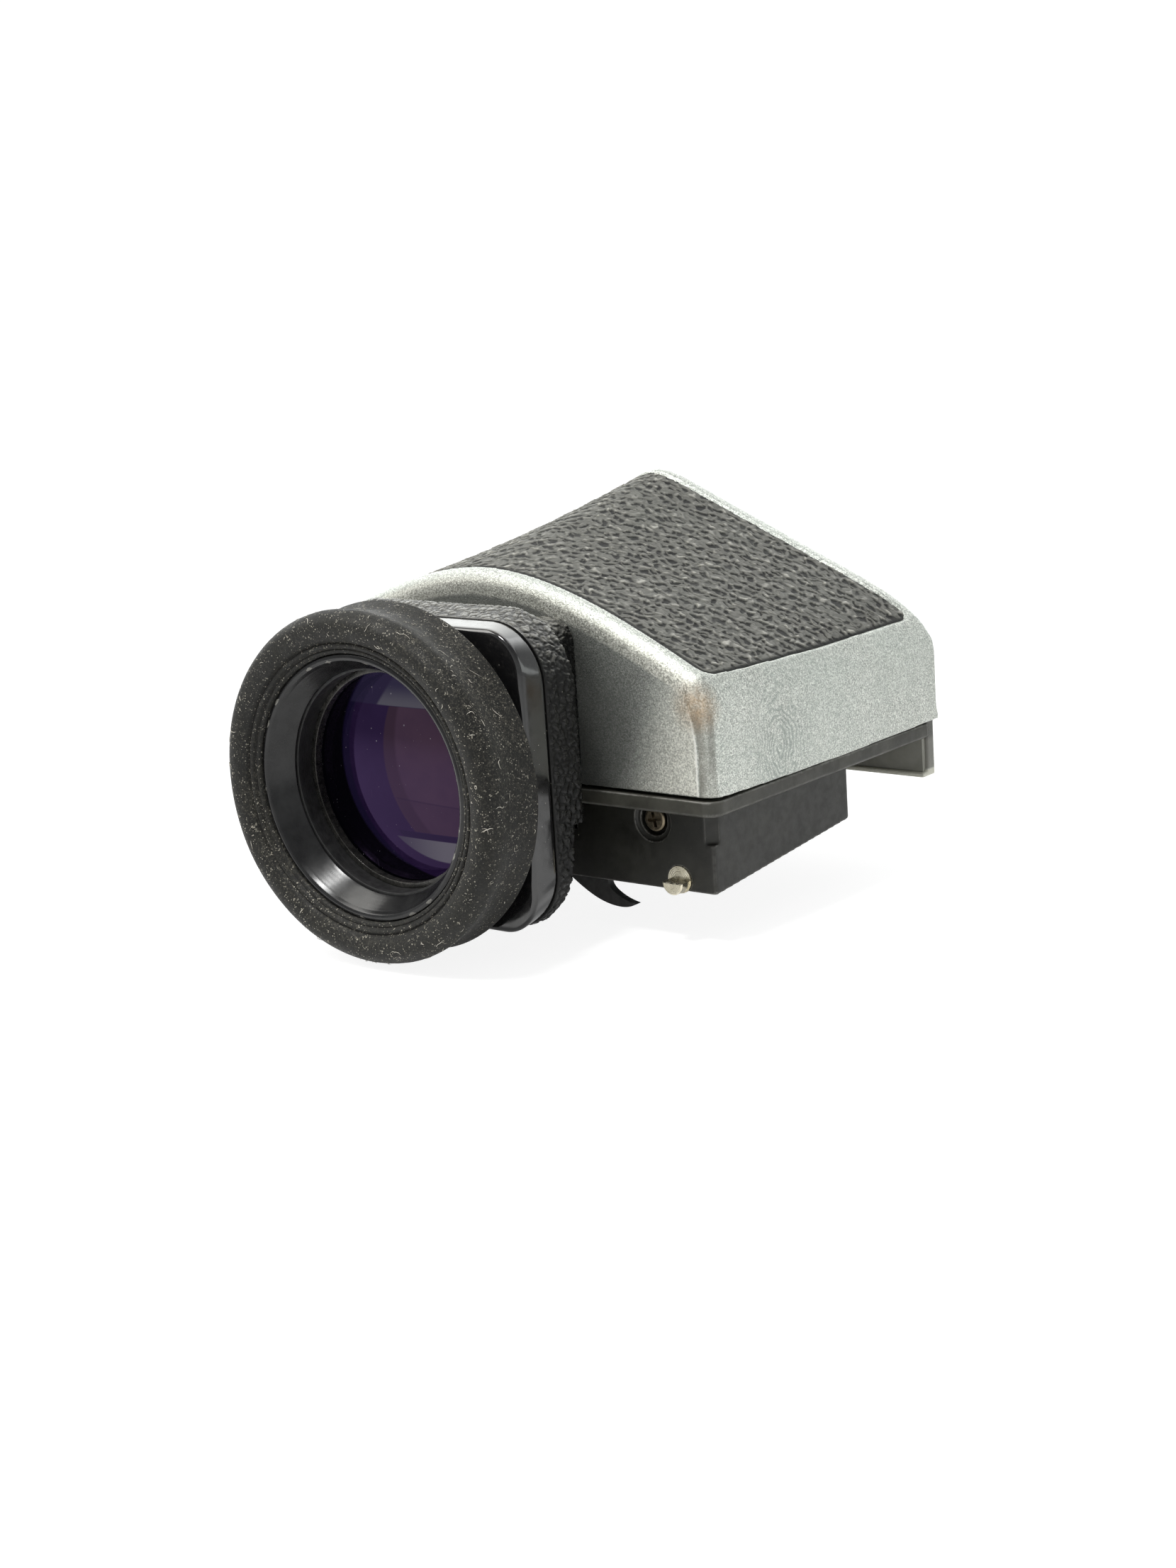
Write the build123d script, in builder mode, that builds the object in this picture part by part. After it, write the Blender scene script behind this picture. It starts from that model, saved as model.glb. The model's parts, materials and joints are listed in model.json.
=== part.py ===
from build123d import *
import os
from math import sin, cos, tan, radians, sqrt

# Interchangeable eye-level roof-prism viewfinder.
# Frame: +Y towards the front, +X to the right seen from behind, +Z up. The eyepiece looks out
# to the rear (-Y). Origin: centre of the entrance window, on the seating plane, which is the
# underside of the flange. All lengths in millimetres.

os.makedirs("parts", exist_ok=True)

# ---------------------------------------------------------------------------
# Driving dimensions shared between pieces
# ---------------------------------------------------------------------------
AXIS_Z = 5.7             # height of the eyepiece axis over the seating plane
EYE_AXIS = Axis((0, 0, 0), (0, 1, 0))
TO_AXIS = Location((0, 0, AXIS_Z))

# shell stations: y, half width, z of the crease between side wall and shoulder,
# z of the roof at the shoulder
STATIONS = [
    (-16.6, 36.1, 13.8, 17.35),
    (-4.0, 36.9, 13.5, 16.95),
    (9.0, 37.2, 13.4, 16.7),
    (22.0, 37.1, 13.3, 16.55),
    (34.2, 36.8, 13.3, 16.5),
]
STATION_Y, HALF_WIDTH, CREASE_Z, SHOULDER_Z = zip(*STATIONS)
# roof: x, z at the rear face, z carried to the front plane
ROOF = [
    (0.0, 28.7, 39.0),
    (5.0, 28.4, 36.7),
    (10.0, 27.5, 33.1),
    (15.0, 26.05, 29.9),
    (20.0, 24.2, 26.75),
    (25.0, 22.0, 23.8),
    (30.0, 19.6, 20.75),
]
ROOF_X, ROOF_REAR_Z, ROOF_FRONT_Z = zip(*ROOF)

SHELL_REAR = STATION_Y[0]
SHELL_FRONT = STATION_Y[-1]      # front face below the slope
SHELL_BOTTOM = 2.4
SHOULDER = 1.8                   # shoulder width, in plan
WALL = 1.8                       # casting wall
LEAN_Z = 14.0                    # height at which the front face starts to lean back
LEAN = 0.46                      # lean of the front face, mm per mm
SKIRT_Z = -5.4                   # bottom of the front skirt
SKIRT_HALF = 35.95               # half width of the front skirt
LEDGE_T = 0.7                    # inward ledge at the bottom of the skirt

FLANGE_T = 2.0
PLUG_H = 0.38                    # plug on the flange, locates inside the shell
PLUG_TOP = FLANGE_T + PLUG_H

BLOCK_HALF = 34.1                # well block
BLOCK_REAR, BLOCK_FRONT = -14.6, 15.9
BLOCK_REAR_Z, BLOCK_FRONT_Z = -10.4, -7.41       # underside at rear and front

# eyepiece hood, from its front end to its rear end
HOOD_FRONT = -22.0
HOOD_LOW_FRONT = -23.9           # front of the housing below the flange level
HOOD_JOINT = -27.2               # between textured housing and gloss frame
HOOD_REAR = -31.4
JOINT_HALF, JOINT_CORNER = 19.45, 7.8            # half size and corner radius at the joint
BARREL_R = 15.15                 # outer radius of the lens barrel
BORE_R = BARREL_R + 0.03
CUP_FRONT = -33.3                # front edge of the rubber eyecup
LIP_Y = -40.5                    # rear lip plane of the eyecup ring

# prism
PRISM_SIZE = 23.0
PRISM_REAR = -12.6
PRISM_Z = AXIS_Z - PRISM_SIZE / 2
PRISM_HALF = 21.5

# screws, locking pins and claw pivot
BOSSES = [(-31.4, -8.0), (31.4, -8.0), (-31.4, 26.0), (31.4, 26.0)]              # (x, y)
CRADLE_HOLES = [(-25.2, -4.0), (25.2, -4.0), (-25.2, 14.0), (25.2, 14.0)]        # (x, y)
HOUSING_HOLES = [(-12.8, 20.3), (12.8, 20.3), (0.0, 22.2)]                       # (x, z)
BLOCK_HOLES = [(-24.8, -1.75), (24.8, -1.75)]                                    # (x, z)
PIN_X, PIN_Z, PIN_R = 28.6, -9.0, 1.75
PIN_CENTRES = [(-PIN_X, PIN_Z), (PIN_X, PIN_Z)]
PIN_DEPTH = 3.7
PIVOT_X, PIVOT_Z, PIVOT_R = 9.6, -8.3, 0.9
PIVOT_REAR, PIVOT_LENGTH = BLOCK_REAR + 0.5, 3.3
CLAW_REAR, CLAW_T = -12.8, 1.1
RUN = 0.04                       # running clearance, radial


def save(builder, name):
    builder.part.label = name
    export_step(builder.part, f"parts/{name}.step")


def cross_plane(y):
    """Plane across the eyepiece axis at y, in (x, z); a negative extrusion runs forwards."""
    return Plane.XZ.offset(-y)


# ---------------------------------------------------------------------------
# Shell and leatherette geometry
# ---------------------------------------------------------------------------
def lerp(start, end, fraction):
    return start + (end - start) * fraction


def at_station(values, y):
    """Value at y, interpolated between the stations."""
    for i in range(len(STATION_Y) - 1):
        if y <= STATION_Y[i + 1] or i == len(STATION_Y) - 2:
            fraction = (y - STATION_Y[i]) / (STATION_Y[i + 1] - STATION_Y[i])
            return lerp(values[i], values[i + 1], fraction)


def half_width(y):
    return at_station(HALF_WIDTH, y)


def roof_heights(y):
    """Roof heights over ROOF_X at y."""
    fraction = (y - SHELL_REAR) / (SHELL_FRONT - SHELL_REAR)
    return [lerp(rear, front, fraction) for rear, front in zip(ROOF_REAR_Z, ROOF_FRONT_Z)]


def roof_z(x, y):
    heights = roof_heights(y)
    for i in range(len(ROOF_X) - 1):
        if x <= ROOF_X[i + 1]:
            span = ROOF_X[i + 1] - ROOF_X[i]
            return lerp(heights[i], heights[i + 1], (x - ROOF_X[i]) / span)
    edge_x = half_width(y) - SHOULDER
    fraction = (x - ROOF_X[-1]) / (edge_x - ROOF_X[-1])
    return lerp(heights[-1], at_station(SHOULDER_Z, y), fraction)


def front_y(z):
    """Position of the leaning front face at height z."""
    return SHELL_FRONT - LEAN * (z - LEAN_Z)


def shell_section(y, inset, drop, bottom):
    """Cross-section at y, moved in at the sides by inset and down at the roof by drop."""
    wall_x = half_width(y) - inset
    edge_x = half_width(y) - SHOULDER - inset * 0.75
    edge_z = at_station(SHOULDER_Z, y) - drop
    crease = at_station(CREASE_Z, y) - drop * 0.6
    heights = [z - drop for z in roof_heights(y)]
    right = list(zip(ROOF_X[1:], heights[1:])) + [(edge_x, edge_z)]
    left = [(-x, z) for x, z in reversed(right)]
    with BuildSketch(cross_plane(y)) as section:
        with BuildLine():
            Polyline((-edge_x, edge_z), (-wall_x, crease), (-wall_x, bottom),
                     (wall_x, bottom), (wall_x, crease), (edge_x, edge_z))
            Spline(*left, (0.0, heights[0]), *right)
        make_face()
    return section.sketch


def front_wedge(inset):
    """Side outline (y, z) of the space in front of the leaning face, moved back by inset."""
    beyond = SHELL_FRONT + 30
    top = 70
    return [(SHELL_FRONT - inset, LEAN_Z), (beyond, LEAN_Z), (beyond, top),
            (front_y(top) - inset, top)]


WEDGE_HALF = 60          # half width of the wedge cuts, past both sides

LEATHER_RECESS = 0.62    # recess depth
LEATHER_T = 0.52         # sheet thickness
LEATHER_GAP = 0.12       # shadow gap round the sheet
LEATHER_REAR = -14.3     # rear edge
LEATHER_SIDE = 0.3       # distance in from the shoulder edge
LEATHER_FRONT = 1.75     # distance back from the front face
LEATHER_FRONT_X = (35.0, 30.0, 25.0, 20.0, 15.0, 10.0, 5.0, 1.6)


def leather_front_y(x):
    """Front edge at x, where the roof meets the face set back by LEATHER_FRONT."""
    y = 26.0
    for _ in range(6):
        y = front_y(roof_z(x, y)) - LEATHER_FRONT
    return y


def leather_sketch(grow, z):
    """Plan outline of the sheet at height z, grown outwards by grow."""
    rear = LEATHER_REAR - grow
    side = [(half_width(y) - SHOULDER - LEATHER_SIDE + grow, y)
            for y in (LEATHER_REAR, *STATION_Y[1:-1])]
    front = [(x, leather_front_y(x) + grow) for x in LEATHER_FRONT_X]
    side_x = side[0][0]
    corner_x, corner_y = side[-1][0] - 0.15, front[0][1]
    front = [(corner_x, corner_y)] + front[1:]
    front_left = [(-x, y) for x, y in reversed(front)]
    side_left = [(-x, y) for x, y in reversed(side[1:])]
    with BuildSketch(Plane.XY.offset(z)) as outline:
        with BuildLine():
            Line((-side_x, rear), (side_x, rear))
            Spline((side_x, rear), *side[1:], (corner_x, corner_y))
            Spline(*(front + front_left))
            Spline((-corner_x, corner_y), *side_left, (-side_x, rear))
        make_face()
        fillet([v for v in outline.vertices() if v.Y < rear + 0.5], radius=2.2 + grow)
        fillet([v for v in outline.vertices() if abs(v.X) > 33 and v.Y > 26],
               radius=1.4 + grow)
    return outline.sketch


# ---------------------------------------------------------------------------
# Outer shell: painted casting with vaulted roof, bowed sides and leaning front
# ---------------------------------------------------------------------------
REAR_ROUND, FRONT_ROUND = 2.2, 0.7
BOSS_R, BOSS_H = 2.6, 9.0
BOSS_HOLE_R, BOSS_HOLE_DEPTH = 1.0, 6.5
RIB_X, RIB_LENGTH, RIB_W, RIB_H = 34.2, 4.0, 2.4, 8.0
REAR_CUT_Y, REAR_CUT_DEPTH = -18.0, 4.0          # cuts through the rear wall
BARREL_OPENING_R = 14.6
HOUSING_CLEARANCE_R = 1.1

with BuildPart() as shell_outer:
    for y in STATION_Y:
        add(shell_section(y, 0.0, 0.0, SHELL_BOTTOM))
    loft()
    with BuildSketch(Plane.YZ):
        with BuildLine():
            Polyline(*front_wedge(0.0), close=True)
        make_face()
    extrude(amount=WEDGE_HALF, both=True, mode=Mode.SUBTRACT)
    rear_edges = shell_outer.edges().filter_by(
        lambda edge: abs(edge.center().Y - SHELL_REAR) < 0.01
        and edge.center().Z > SHELL_BOTTOM + 0.1)
    fillet(rear_edges, radius=REAR_ROUND)
    lean_edges = shell_outer.edges().filter_by(
        lambda edge: abs(edge.center().Y - front_y(edge.center().Z)) < 0.12
        and edge.center().Z > LEAN_Z + 0.6)
    fillet(lean_edges, radius=FRONT_ROUND)


def lowered_shell(drop):
    with BuildPart() as lowered:
        add(shell_outer.part.moved(Location((0, 0, -drop))))
    return lowered.part


recess_floor = lowered_shell(LEATHER_RECESS)
leather_top = lowered_shell(LEATHER_RECESS - LEATHER_T)

with BuildPart() as recess_tool:
    add(leather_sketch(LEATHER_GAP, 16.0))
    extrude(amount=30)
    add(recess_floor, mode=Mode.SUBTRACT)

with BuildPart() as cavity:
    for y in (SHELL_REAR + WALL, *STATION_Y[1:-1], SHELL_FRONT - WALL):
        add(shell_section(y, WALL, WALL + 0.35, -1.0))
    loft()
    with BuildSketch(Plane.YZ):
        with BuildLine():
            Polyline(*front_wedge(WALL + 0.2), close=True)
        make_face()
    extrude(amount=WEDGE_HALF, both=True, mode=Mode.SUBTRACT)

with BuildPart() as outer_shell:
    add(shell_outer.part)
    # front skirt below the flange, then its inward ledge: depth in y, height
    for depth, height in ((WALL, SHELL_BOTTOM - SKIRT_Z + 1.0), (3.0, LEDGE_T)):
        with BuildSketch(Plane.XY.offset(SKIRT_Z)):
            with Locations((0, SHELL_FRONT - depth / 2)):
                Rectangle(2 * SKIRT_HALF, depth)
        extrude(amount=height)
    add(cavity.part, mode=Mode.SUBTRACT)
    add(recess_tool.part, mode=Mode.SUBTRACT)
    # bosses for the flange screws, joined to the side walls by ribs
    with BuildSketch(Plane.XY.offset(SHELL_BOTTOM)):
        with Locations(*BOSSES):
            Circle(BOSS_R)
    extrude(amount=BOSS_H)
    for side in (-1, 1):
        with BuildSketch(Plane.XY.offset(SHELL_BOTTOM)):
            with Locations((side * RIB_X, BOSSES[0][1]), (side * RIB_X, BOSSES[2][1])):
                Rectangle(RIB_LENGTH, RIB_W)
        extrude(amount=RIB_H)
    with BuildSketch(Plane.XY.offset(FLANGE_T)):
        with Locations(*BOSSES):
            Circle(BOSS_HOLE_R)
    extrude(amount=BOSS_HOLE_DEPTH, mode=Mode.SUBTRACT)
    # opening for the lens barrel and holes for the three housing screws
    with BuildSketch(cross_plane(REAR_CUT_Y)):
        with Locations((0, AXIS_Z)):
            Circle(BARREL_OPENING_R)
    extrude(amount=-REAR_CUT_DEPTH, mode=Mode.SUBTRACT)
    with BuildSketch(cross_plane(REAR_CUT_Y)):
        with Locations(*HOUSING_HOLES):
            Circle(HOUSING_CLEARANCE_R)
    extrude(amount=-REAR_CUT_DEPTH, mode=Mode.SUBTRACT)
save(outer_shell, "outer_shell")

with BuildPart() as leatherette_panel:
    add(leather_sketch(0.0, 16.2))
    extrude(amount=30)
    add(leather_top, mode=Mode.INTERSECT)
    add(recess_floor, mode=Mode.SUBTRACT)
save(leatherette_panel, "leatherette_panel")

# ---------------------------------------------------------------------------
# Base flange: moulded frame that closes the shell from below
# ---------------------------------------------------------------------------
FLANGE_HALF = 36.2
FLANGE_REAR, FLANGE_FRONT = -17.0, 32.35
PLUG_HALF, PLUG_LENGTH, PLUG_Y = 33.6, 46.0, 8.6
LIGHT_HALF, LIGHT_LENGTH, LIGHT_Y = 22.4, 27.9, 0.55
NOTCH_R = 15.4
PAD_Y, PAD_X_SIZE, PAD_Y_SIZE = 22.6, 54.0, 12.4
GROOVE_W, GROOVE_DEPTH = 0.8, 0.3
SINK_R, SINK_DEPTH, SINK_ANGLE = 1.85, 0.80, 42

with BuildPart() as base_flange:
    with BuildSketch(Plane.XY):
        with Locations((0, (FLANGE_REAR + FLANGE_FRONT) / 2)):
            Rectangle(2 * FLANGE_HALF, FLANGE_FRONT - FLANGE_REAR)
    extrude(amount=FLANGE_T)
    fillet(base_flange.edges().filter_by(Axis.Z).filter_by(lambda edge: edge.center().Y < 0),
           radius=2.0)
    chamfer(base_flange.edges().group_by(Axis.Z)[0], length=0.28)
    # plug that locates inside the shell
    with BuildSketch(Plane.XY.offset(FLANGE_T)):
        with Locations((0, PLUG_Y)):
            RectangleRounded(2 * PLUG_HALF, PLUG_LENGTH, 1.5)
    extrude(amount=PLUG_H)
    # light opening
    with BuildSketch(Plane.XY.offset(-1)):
        with Locations((0, LIGHT_Y)):
            RectangleRounded(2 * LIGHT_HALF, LIGHT_LENGTH, 1.0)
    extrude(amount=5, mode=Mode.SUBTRACT)
    # notch that lets the lens barrel pass
    with BuildSketch(cross_plane(-20)):
        with Locations((0, AXIS_Z)):
            Circle(NOTCH_R)
    extrude(amount=-8, mode=Mode.SUBTRACT)
    # shallow groove round the front seating pad
    with BuildSketch(Plane.XY):
        with Locations((0, PAD_Y)):
            RectangleRounded(PAD_X_SIZE, PAD_Y_SIZE, 1.0)
            RectangleRounded(PAD_X_SIZE - 2 * GROOVE_W, PAD_Y_SIZE - 2 * GROOVE_W, 0.6,
                             mode=Mode.SUBTRACT)
    extrude(amount=GROOVE_DEPTH, mode=Mode.SUBTRACT)
    # countersunk screw holes
    for x, y in BOSSES:
        with BuildSketch(Plane.XY.offset(-1)):
            with Locations((x, y)):
                Circle(1.05)
        extrude(amount=6, mode=Mode.SUBTRACT)
        with BuildSketch(Plane.XY.offset(-0.001)):
            with Locations((x, y)):
                Circle(SINK_R)
        extrude(amount=SINK_DEPTH, taper=SINK_ANGLE, mode=Mode.SUBTRACT)
    # cradle screw holes
    with BuildSketch(Plane.XY.offset(-1)):
        with Locations(*CRADLE_HOLES):
            Circle(0.8)
    extrude(amount=6, mode=Mode.SUBTRACT)
save(base_flange, "base_flange")

# Flange screws: countersunk heads just inside the flange underside
SINK_HEAD_Z, SINK_HEAD_R, SINK_HEAD_H = 0.06, 1.74, 0.70
SINK_SHANK_Z, SINK_SHANK_R, SINK_SHANK_LENGTH = 0.5, 0.98, 6.4
SINK_CROSS, SINK_CROSS_W, SINK_CROSS_DEPTH = 1.7, 0.36, 0.45

with BuildPart() as flange_screws:
    for x, y in BOSSES:
        with BuildSketch(Plane.XY.offset(SINK_HEAD_Z)):
            with Locations((x, y)):
                Circle(SINK_HEAD_R)
        extrude(amount=SINK_HEAD_H, taper=SINK_ANGLE)
        with BuildSketch(Plane.XY.offset(SINK_SHANK_Z)):
            with Locations((x, y)):
                Circle(SINK_SHANK_R)
        extrude(amount=SINK_SHANK_LENGTH)
        with BuildSketch(Plane.XY.offset(SINK_HEAD_Z)):
            with Locations((x, y)):
                Rectangle(SINK_CROSS, SINK_CROSS_W)
                Rectangle(SINK_CROSS_W, SINK_CROSS)
        extrude(amount=SINK_CROSS_DEPTH, mode=Mode.SUBTRACT)
save(flange_screws, "flange_screws")

# ---------------------------------------------------------------------------
# Front liner: black plate inside the front skirt, standing on its ledge
# ---------------------------------------------------------------------------
LINER_T = 0.7
LINER_Z = SKIRT_Z + LEDGE_T

with BuildPart() as front_liner:
    with BuildSketch(Plane.XY.offset(LINER_Z)):
        with Locations((0, SHELL_FRONT - WALL - LINER_T / 2)):
            Rectangle(2 * (SKIRT_HALF - 0.4), LINER_T)
    extrude(amount=-LINER_Z - 0.05)
save(front_liner, "front_liner")

# ---------------------------------------------------------------------------
# Well block: box that drops into the camera's screen well
# ---------------------------------------------------------------------------
REAR_WALL = 5.0                  # thick lower rear wall that carries pins and latch
WELL_HALF = 22.2                 # half width of the light well
WELL_REAR = -13.1                # rear of the upper light well
WELL_FRONT = 13.2
LOW_WELL_REAR = BLOCK_REAR + REAR_WALL
HAUNCH_Z = -1.1
BEAM_W, BEAM_H = 25.0, 8.4
POCKET_X, POCKET_Y, POCKET_W, POCKET_LENGTH = 29.4, 3.2, 4.2, 18.0
RELIEF = 1.3                     # size of the relieved corners
# stepped holes for the rear screws: radius, depth from the rear face
BLOCK_HOLE_STEPS = [(2.75, 0.35), (2.05, 1.35), (1.0, 3.6)]
SLOT_LEFT, SLOT_RIGHT, SLOT_TOP, SLOT_BOTTOM = 5.2, 20.2, -6.5, -14

WINDOW_REAR, WINDOW_FRONT, WINDOW_HALF = -10.2, 13.8, 24.6
SEAT_GAP = 0.1                   # gap between the window edge and its seat
SLOPE = (BLOCK_FRONT_Z - BLOCK_REAR_Z) / (BLOCK_FRONT - BLOCK_REAR)


def underside_z(y, up):
    """Height at y of a plane parallel to the block underside, raised by up."""
    return BLOCK_REAR_Z + SLOPE * (y - BLOCK_REAR) + up


def sloped_slab(rear, front, low, high):
    """Side outline (y, z) of a slab parallel to the block underside."""
    return [(rear, underside_z(rear, low)), (front, underside_z(front, low)),
            (front, underside_z(front, high)), (rear, underside_z(rear, high))]


with BuildPart() as well_block:
    with BuildSketch(Plane.YZ):
        with BuildLine():
            Polyline((BLOCK_REAR, 0), (BLOCK_FRONT, 0), (BLOCK_FRONT, BLOCK_FRONT_Z),
                     (BLOCK_REAR, BLOCK_REAR_Z), close=True)
        make_face()
    extrude(amount=BLOCK_HALF, both=True)
    fillet(well_block.edges().filter_by(Axis.Z).filter_by(lambda edge: edge.center().Y < 0),
           radius=0.45)
    fillet(well_block.edges().filter_by(Axis.Z).filter_by(lambda edge: edge.center().Y > 0),
           radius=0.9)
    # haunch where the front wall meets the flange
    with BuildSketch(Plane.YZ):
        with BuildLine():
            Polyline((BLOCK_FRONT - 0.6, 0), (BLOCK_FRONT + 0.85, 0),
                     (BLOCK_FRONT - 0.05, HAUNCH_Z), (BLOCK_FRONT - 0.6, HAUNCH_Z), close=True)
        make_face()
    extrude(amount=BLOCK_HALF - 1.0, both=True)
    # light well, reaching further back at the top where the prism stands in it
    with BuildSketch(Plane.XY.offset(1)):
        with Locations((0, (LOW_WELL_REAR + WELL_FRONT) / 2)):
            RectangleRounded(2 * WELL_HALF, WELL_FRONT - LOW_WELL_REAR, 1.0)
    extrude(amount=-20, mode=Mode.SUBTRACT)
    with BuildSketch(Plane.XY.offset(1)):
        with Locations((0, (WELL_REAR + WELL_FRONT) / 2)):
            Rectangle(2 * WELL_HALF, WELL_FRONT - WELL_REAR)
    extrude(amount=-7.0, mode=Mode.SUBTRACT)
    # window in the rear wall for the exit beam
    with BuildSketch(cross_plane(-16)):
        with Locations((0, 0)):
            Rectangle(BEAM_W, BEAM_H)
    extrude(amount=-3, mode=Mode.SUBTRACT)
    # seat for the entrance window, from below
    with BuildSketch(Plane.YZ):
        with BuildLine():
            Polyline(*sloped_slab(WINDOW_REAR - SEAT_GAP, WINDOW_FRONT + SEAT_GAP, -2, 1.3),
                     close=True)
        make_face()
    extrude(amount=WINDOW_HALF + SEAT_GAP, both=True, mode=Mode.SUBTRACT)
    # side pockets lighten the block beside the well
    with BuildSketch(Plane.XY.offset(0.5)):
        with Locations((-POCKET_X, POCKET_Y), (POCKET_X, POCKET_Y)):
            RectangleRounded(POCKET_W, POCKET_LENGTH, 1.0)
    extrude(amount=-6.2, mode=Mode.SUBTRACT)
    # relieved upper rear corners
    for side in (-1, 1):
        with BuildSketch(Plane.XY.offset(0.5)):
            with BuildLine():
                Polyline((side * (BLOCK_HALF + 0.5), BLOCK_REAR + RELIEF),
                         (side * (BLOCK_HALF + 0.5), BLOCK_REAR - 0.5),
                         (side * (BLOCK_HALF - RELIEF), BLOCK_REAR - 0.5),
                         (side * (BLOCK_HALF - RELIEF), BLOCK_REAR),
                         (side * BLOCK_HALF, BLOCK_REAR + RELIEF), close=True)
            make_face()
        extrude(amount=-4.6, mode=Mode.SUBTRACT)
    for radius, depth in BLOCK_HOLE_STEPS:
        with BuildSketch(cross_plane(BLOCK_REAR)):
            with Locations(*BLOCK_HOLES):
                Circle(radius)
        extrude(amount=-depth, mode=Mode.SUBTRACT)
    # seats for the locking pins; the wall breaks open at the underside
    with BuildSketch(cross_plane(BLOCK_REAR)):
        with Locations(*PIN_CENTRES):
            Circle(PIN_R)
    extrude(amount=-PIN_DEPTH, mode=Mode.SUBTRACT)
    # slot for the claw, open downwards
    with BuildSketch(cross_plane(CLAW_REAR - 0.12)):
        with BuildLine():
            Polyline((SLOT_LEFT, SLOT_TOP), (SLOT_RIGHT, SLOT_TOP), (SLOT_RIGHT, SLOT_BOTTOM),
                     (SLOT_LEFT, SLOT_BOTTOM), close=True)
        make_face()
    extrude(amount=-(CLAW_T + 0.80), mode=Mode.SUBTRACT)
    # pivot hole
    with BuildSketch(cross_plane(PIVOT_REAR)):
        with Locations((PIVOT_X, PIVOT_Z)):
            Circle(PIVOT_R)
    extrude(amount=-PIVOT_LENGTH, mode=Mode.SUBTRACT)
save(well_block, "well_block")

# ---------------------------------------------------------------------------
# Entrance window and its retaining frame, both parallel to the block underside
# ---------------------------------------------------------------------------
WINDOW_LOW, WINDOW_HIGH = 0.45, 1.27             # heights over the block underside
RETAINER_LOW, RETAINER_HIGH = 0.05, 0.43
RETAINER_OPENING_HALF, RETAINER_OPENING_LENGTH = 22.4, 21.0

with BuildPart() as entrance_window:
    with BuildSketch(Plane.YZ):
        with BuildLine():
            Polyline(*sloped_slab(WINDOW_REAR, WINDOW_FRONT, WINDOW_LOW, WINDOW_HIGH),
                     close=True)
        make_face()
    extrude(amount=WINDOW_HALF, both=True)
save(entrance_window, "entrance_window")

with BuildPart() as window_retainer:
    with BuildSketch(Plane.YZ):
        with BuildLine():
            Polyline(*sloped_slab(WINDOW_REAR, WINDOW_FRONT, RETAINER_LOW, RETAINER_HIGH),
                     close=True)
        make_face()
    extrude(amount=WINDOW_HALF, both=True)
    with BuildSketch(Plane.XY.offset(2)):
        with Locations((0, (WINDOW_REAR + WINDOW_FRONT) / 2)):
            RectangleRounded(2 * RETAINER_OPENING_HALF, RETAINER_OPENING_LENGTH, 1.0)
    extrude(amount=-20, mode=Mode.SUBTRACT)
save(window_retainer, "window_retainer")

# ---------------------------------------------------------------------------
# Roof pentaprism
# ---------------------------------------------------------------------------
RIDGE_ANGLE = radians(22.5)      # rise of the ridge towards the front
RIDGE_REAR_Z = 21.6
RIDGE_FRONT = 11.0
RIDGE_FRONT_Z = RIDGE_REAR_Z + (RIDGE_FRONT - PRISM_REAR) * tan(RIDGE_ANGLE)
PRISM_FRONT = PRISM_REAR + PRISM_SIZE * 1.4142
PRISM_FRONT_Z = PRISM_Z + PRISM_SIZE
# plane square to the ridge at its rear end: z along the ridge, y upwards
RIDGE_PLANE = Plane(origin=(0, PRISM_REAR, RIDGE_REAR_Z), x_dir=(-1, 0, 0),
                    z_dir=(0, cos(RIDGE_ANGLE), sin(RIDGE_ANGLE)))

with BuildPart() as roof_prism:
    with BuildSketch(Plane.YZ):
        with BuildLine():
            Polyline((PRISM_REAR, PRISM_Z), (PRISM_REAR + PRISM_SIZE, PRISM_Z),
                     (PRISM_FRONT, PRISM_FRONT_Z), (PRISM_FRONT - 2.4, PRISM_FRONT_Z + 6.8),
                     (RIDGE_FRONT, RIDGE_FRONT_Z), (PRISM_REAR, RIDGE_REAR_Z), close=True)
        make_face()
    extrude(amount=PRISM_HALF, both=True)
    # the two roof faces meet at a right angle along the ridge
    for side in (-1, 1):
        with BuildSketch(RIDGE_PLANE.offset(-20)):
            with BuildLine():
                Polyline((0, 0), (side * 60, -60), (side * 60, 30), (0, 30), close=True)
            make_face()
        extrude(amount=80, mode=Mode.SUBTRACT)
    chamfer(roof_prism.edges().group_by(Axis.Z)[0], length=0.3)
save(roof_prism, "roof_prism")

# Black mask on the exit face
MASK_W, MASK_H, MASK_Z, MASK_T = 40.0, 23.6, 6.2, 0.4
MASK_OPENING_W, MASK_OPENING_H = 21.0, 16.6

with BuildPart() as exit_mask:
    with BuildSketch(cross_plane(PRISM_REAR - 0.45)):
        with Locations((0, MASK_Z)):
            Rectangle(MASK_W, MASK_H)
        with Locations((0, AXIS_Z)):
            Rectangle(MASK_OPENING_W, MASK_OPENING_H, mode=Mode.SUBTRACT)
    extrude(amount=-MASK_T)
save(exit_mask, "exit_mask")

# ---------------------------------------------------------------------------
# Prism cradle: frame round the prism with an upright tab on each side
# ---------------------------------------------------------------------------
CRADLE_HALF, CRADLE_LENGTH, CRADLE_Y, CRADLE_T = 27.4, 31.6, 2.4, 0.9
CRADLE_GAP = 0.08                # between the prism and the cradle
CRADLE_OPENING_LENGTH, CRADLE_OPENING_Y = 29.9, 1.9
TAB_Y, TAB_LENGTH, TAB_H = 1.0, 22.0, 5.0

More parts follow.
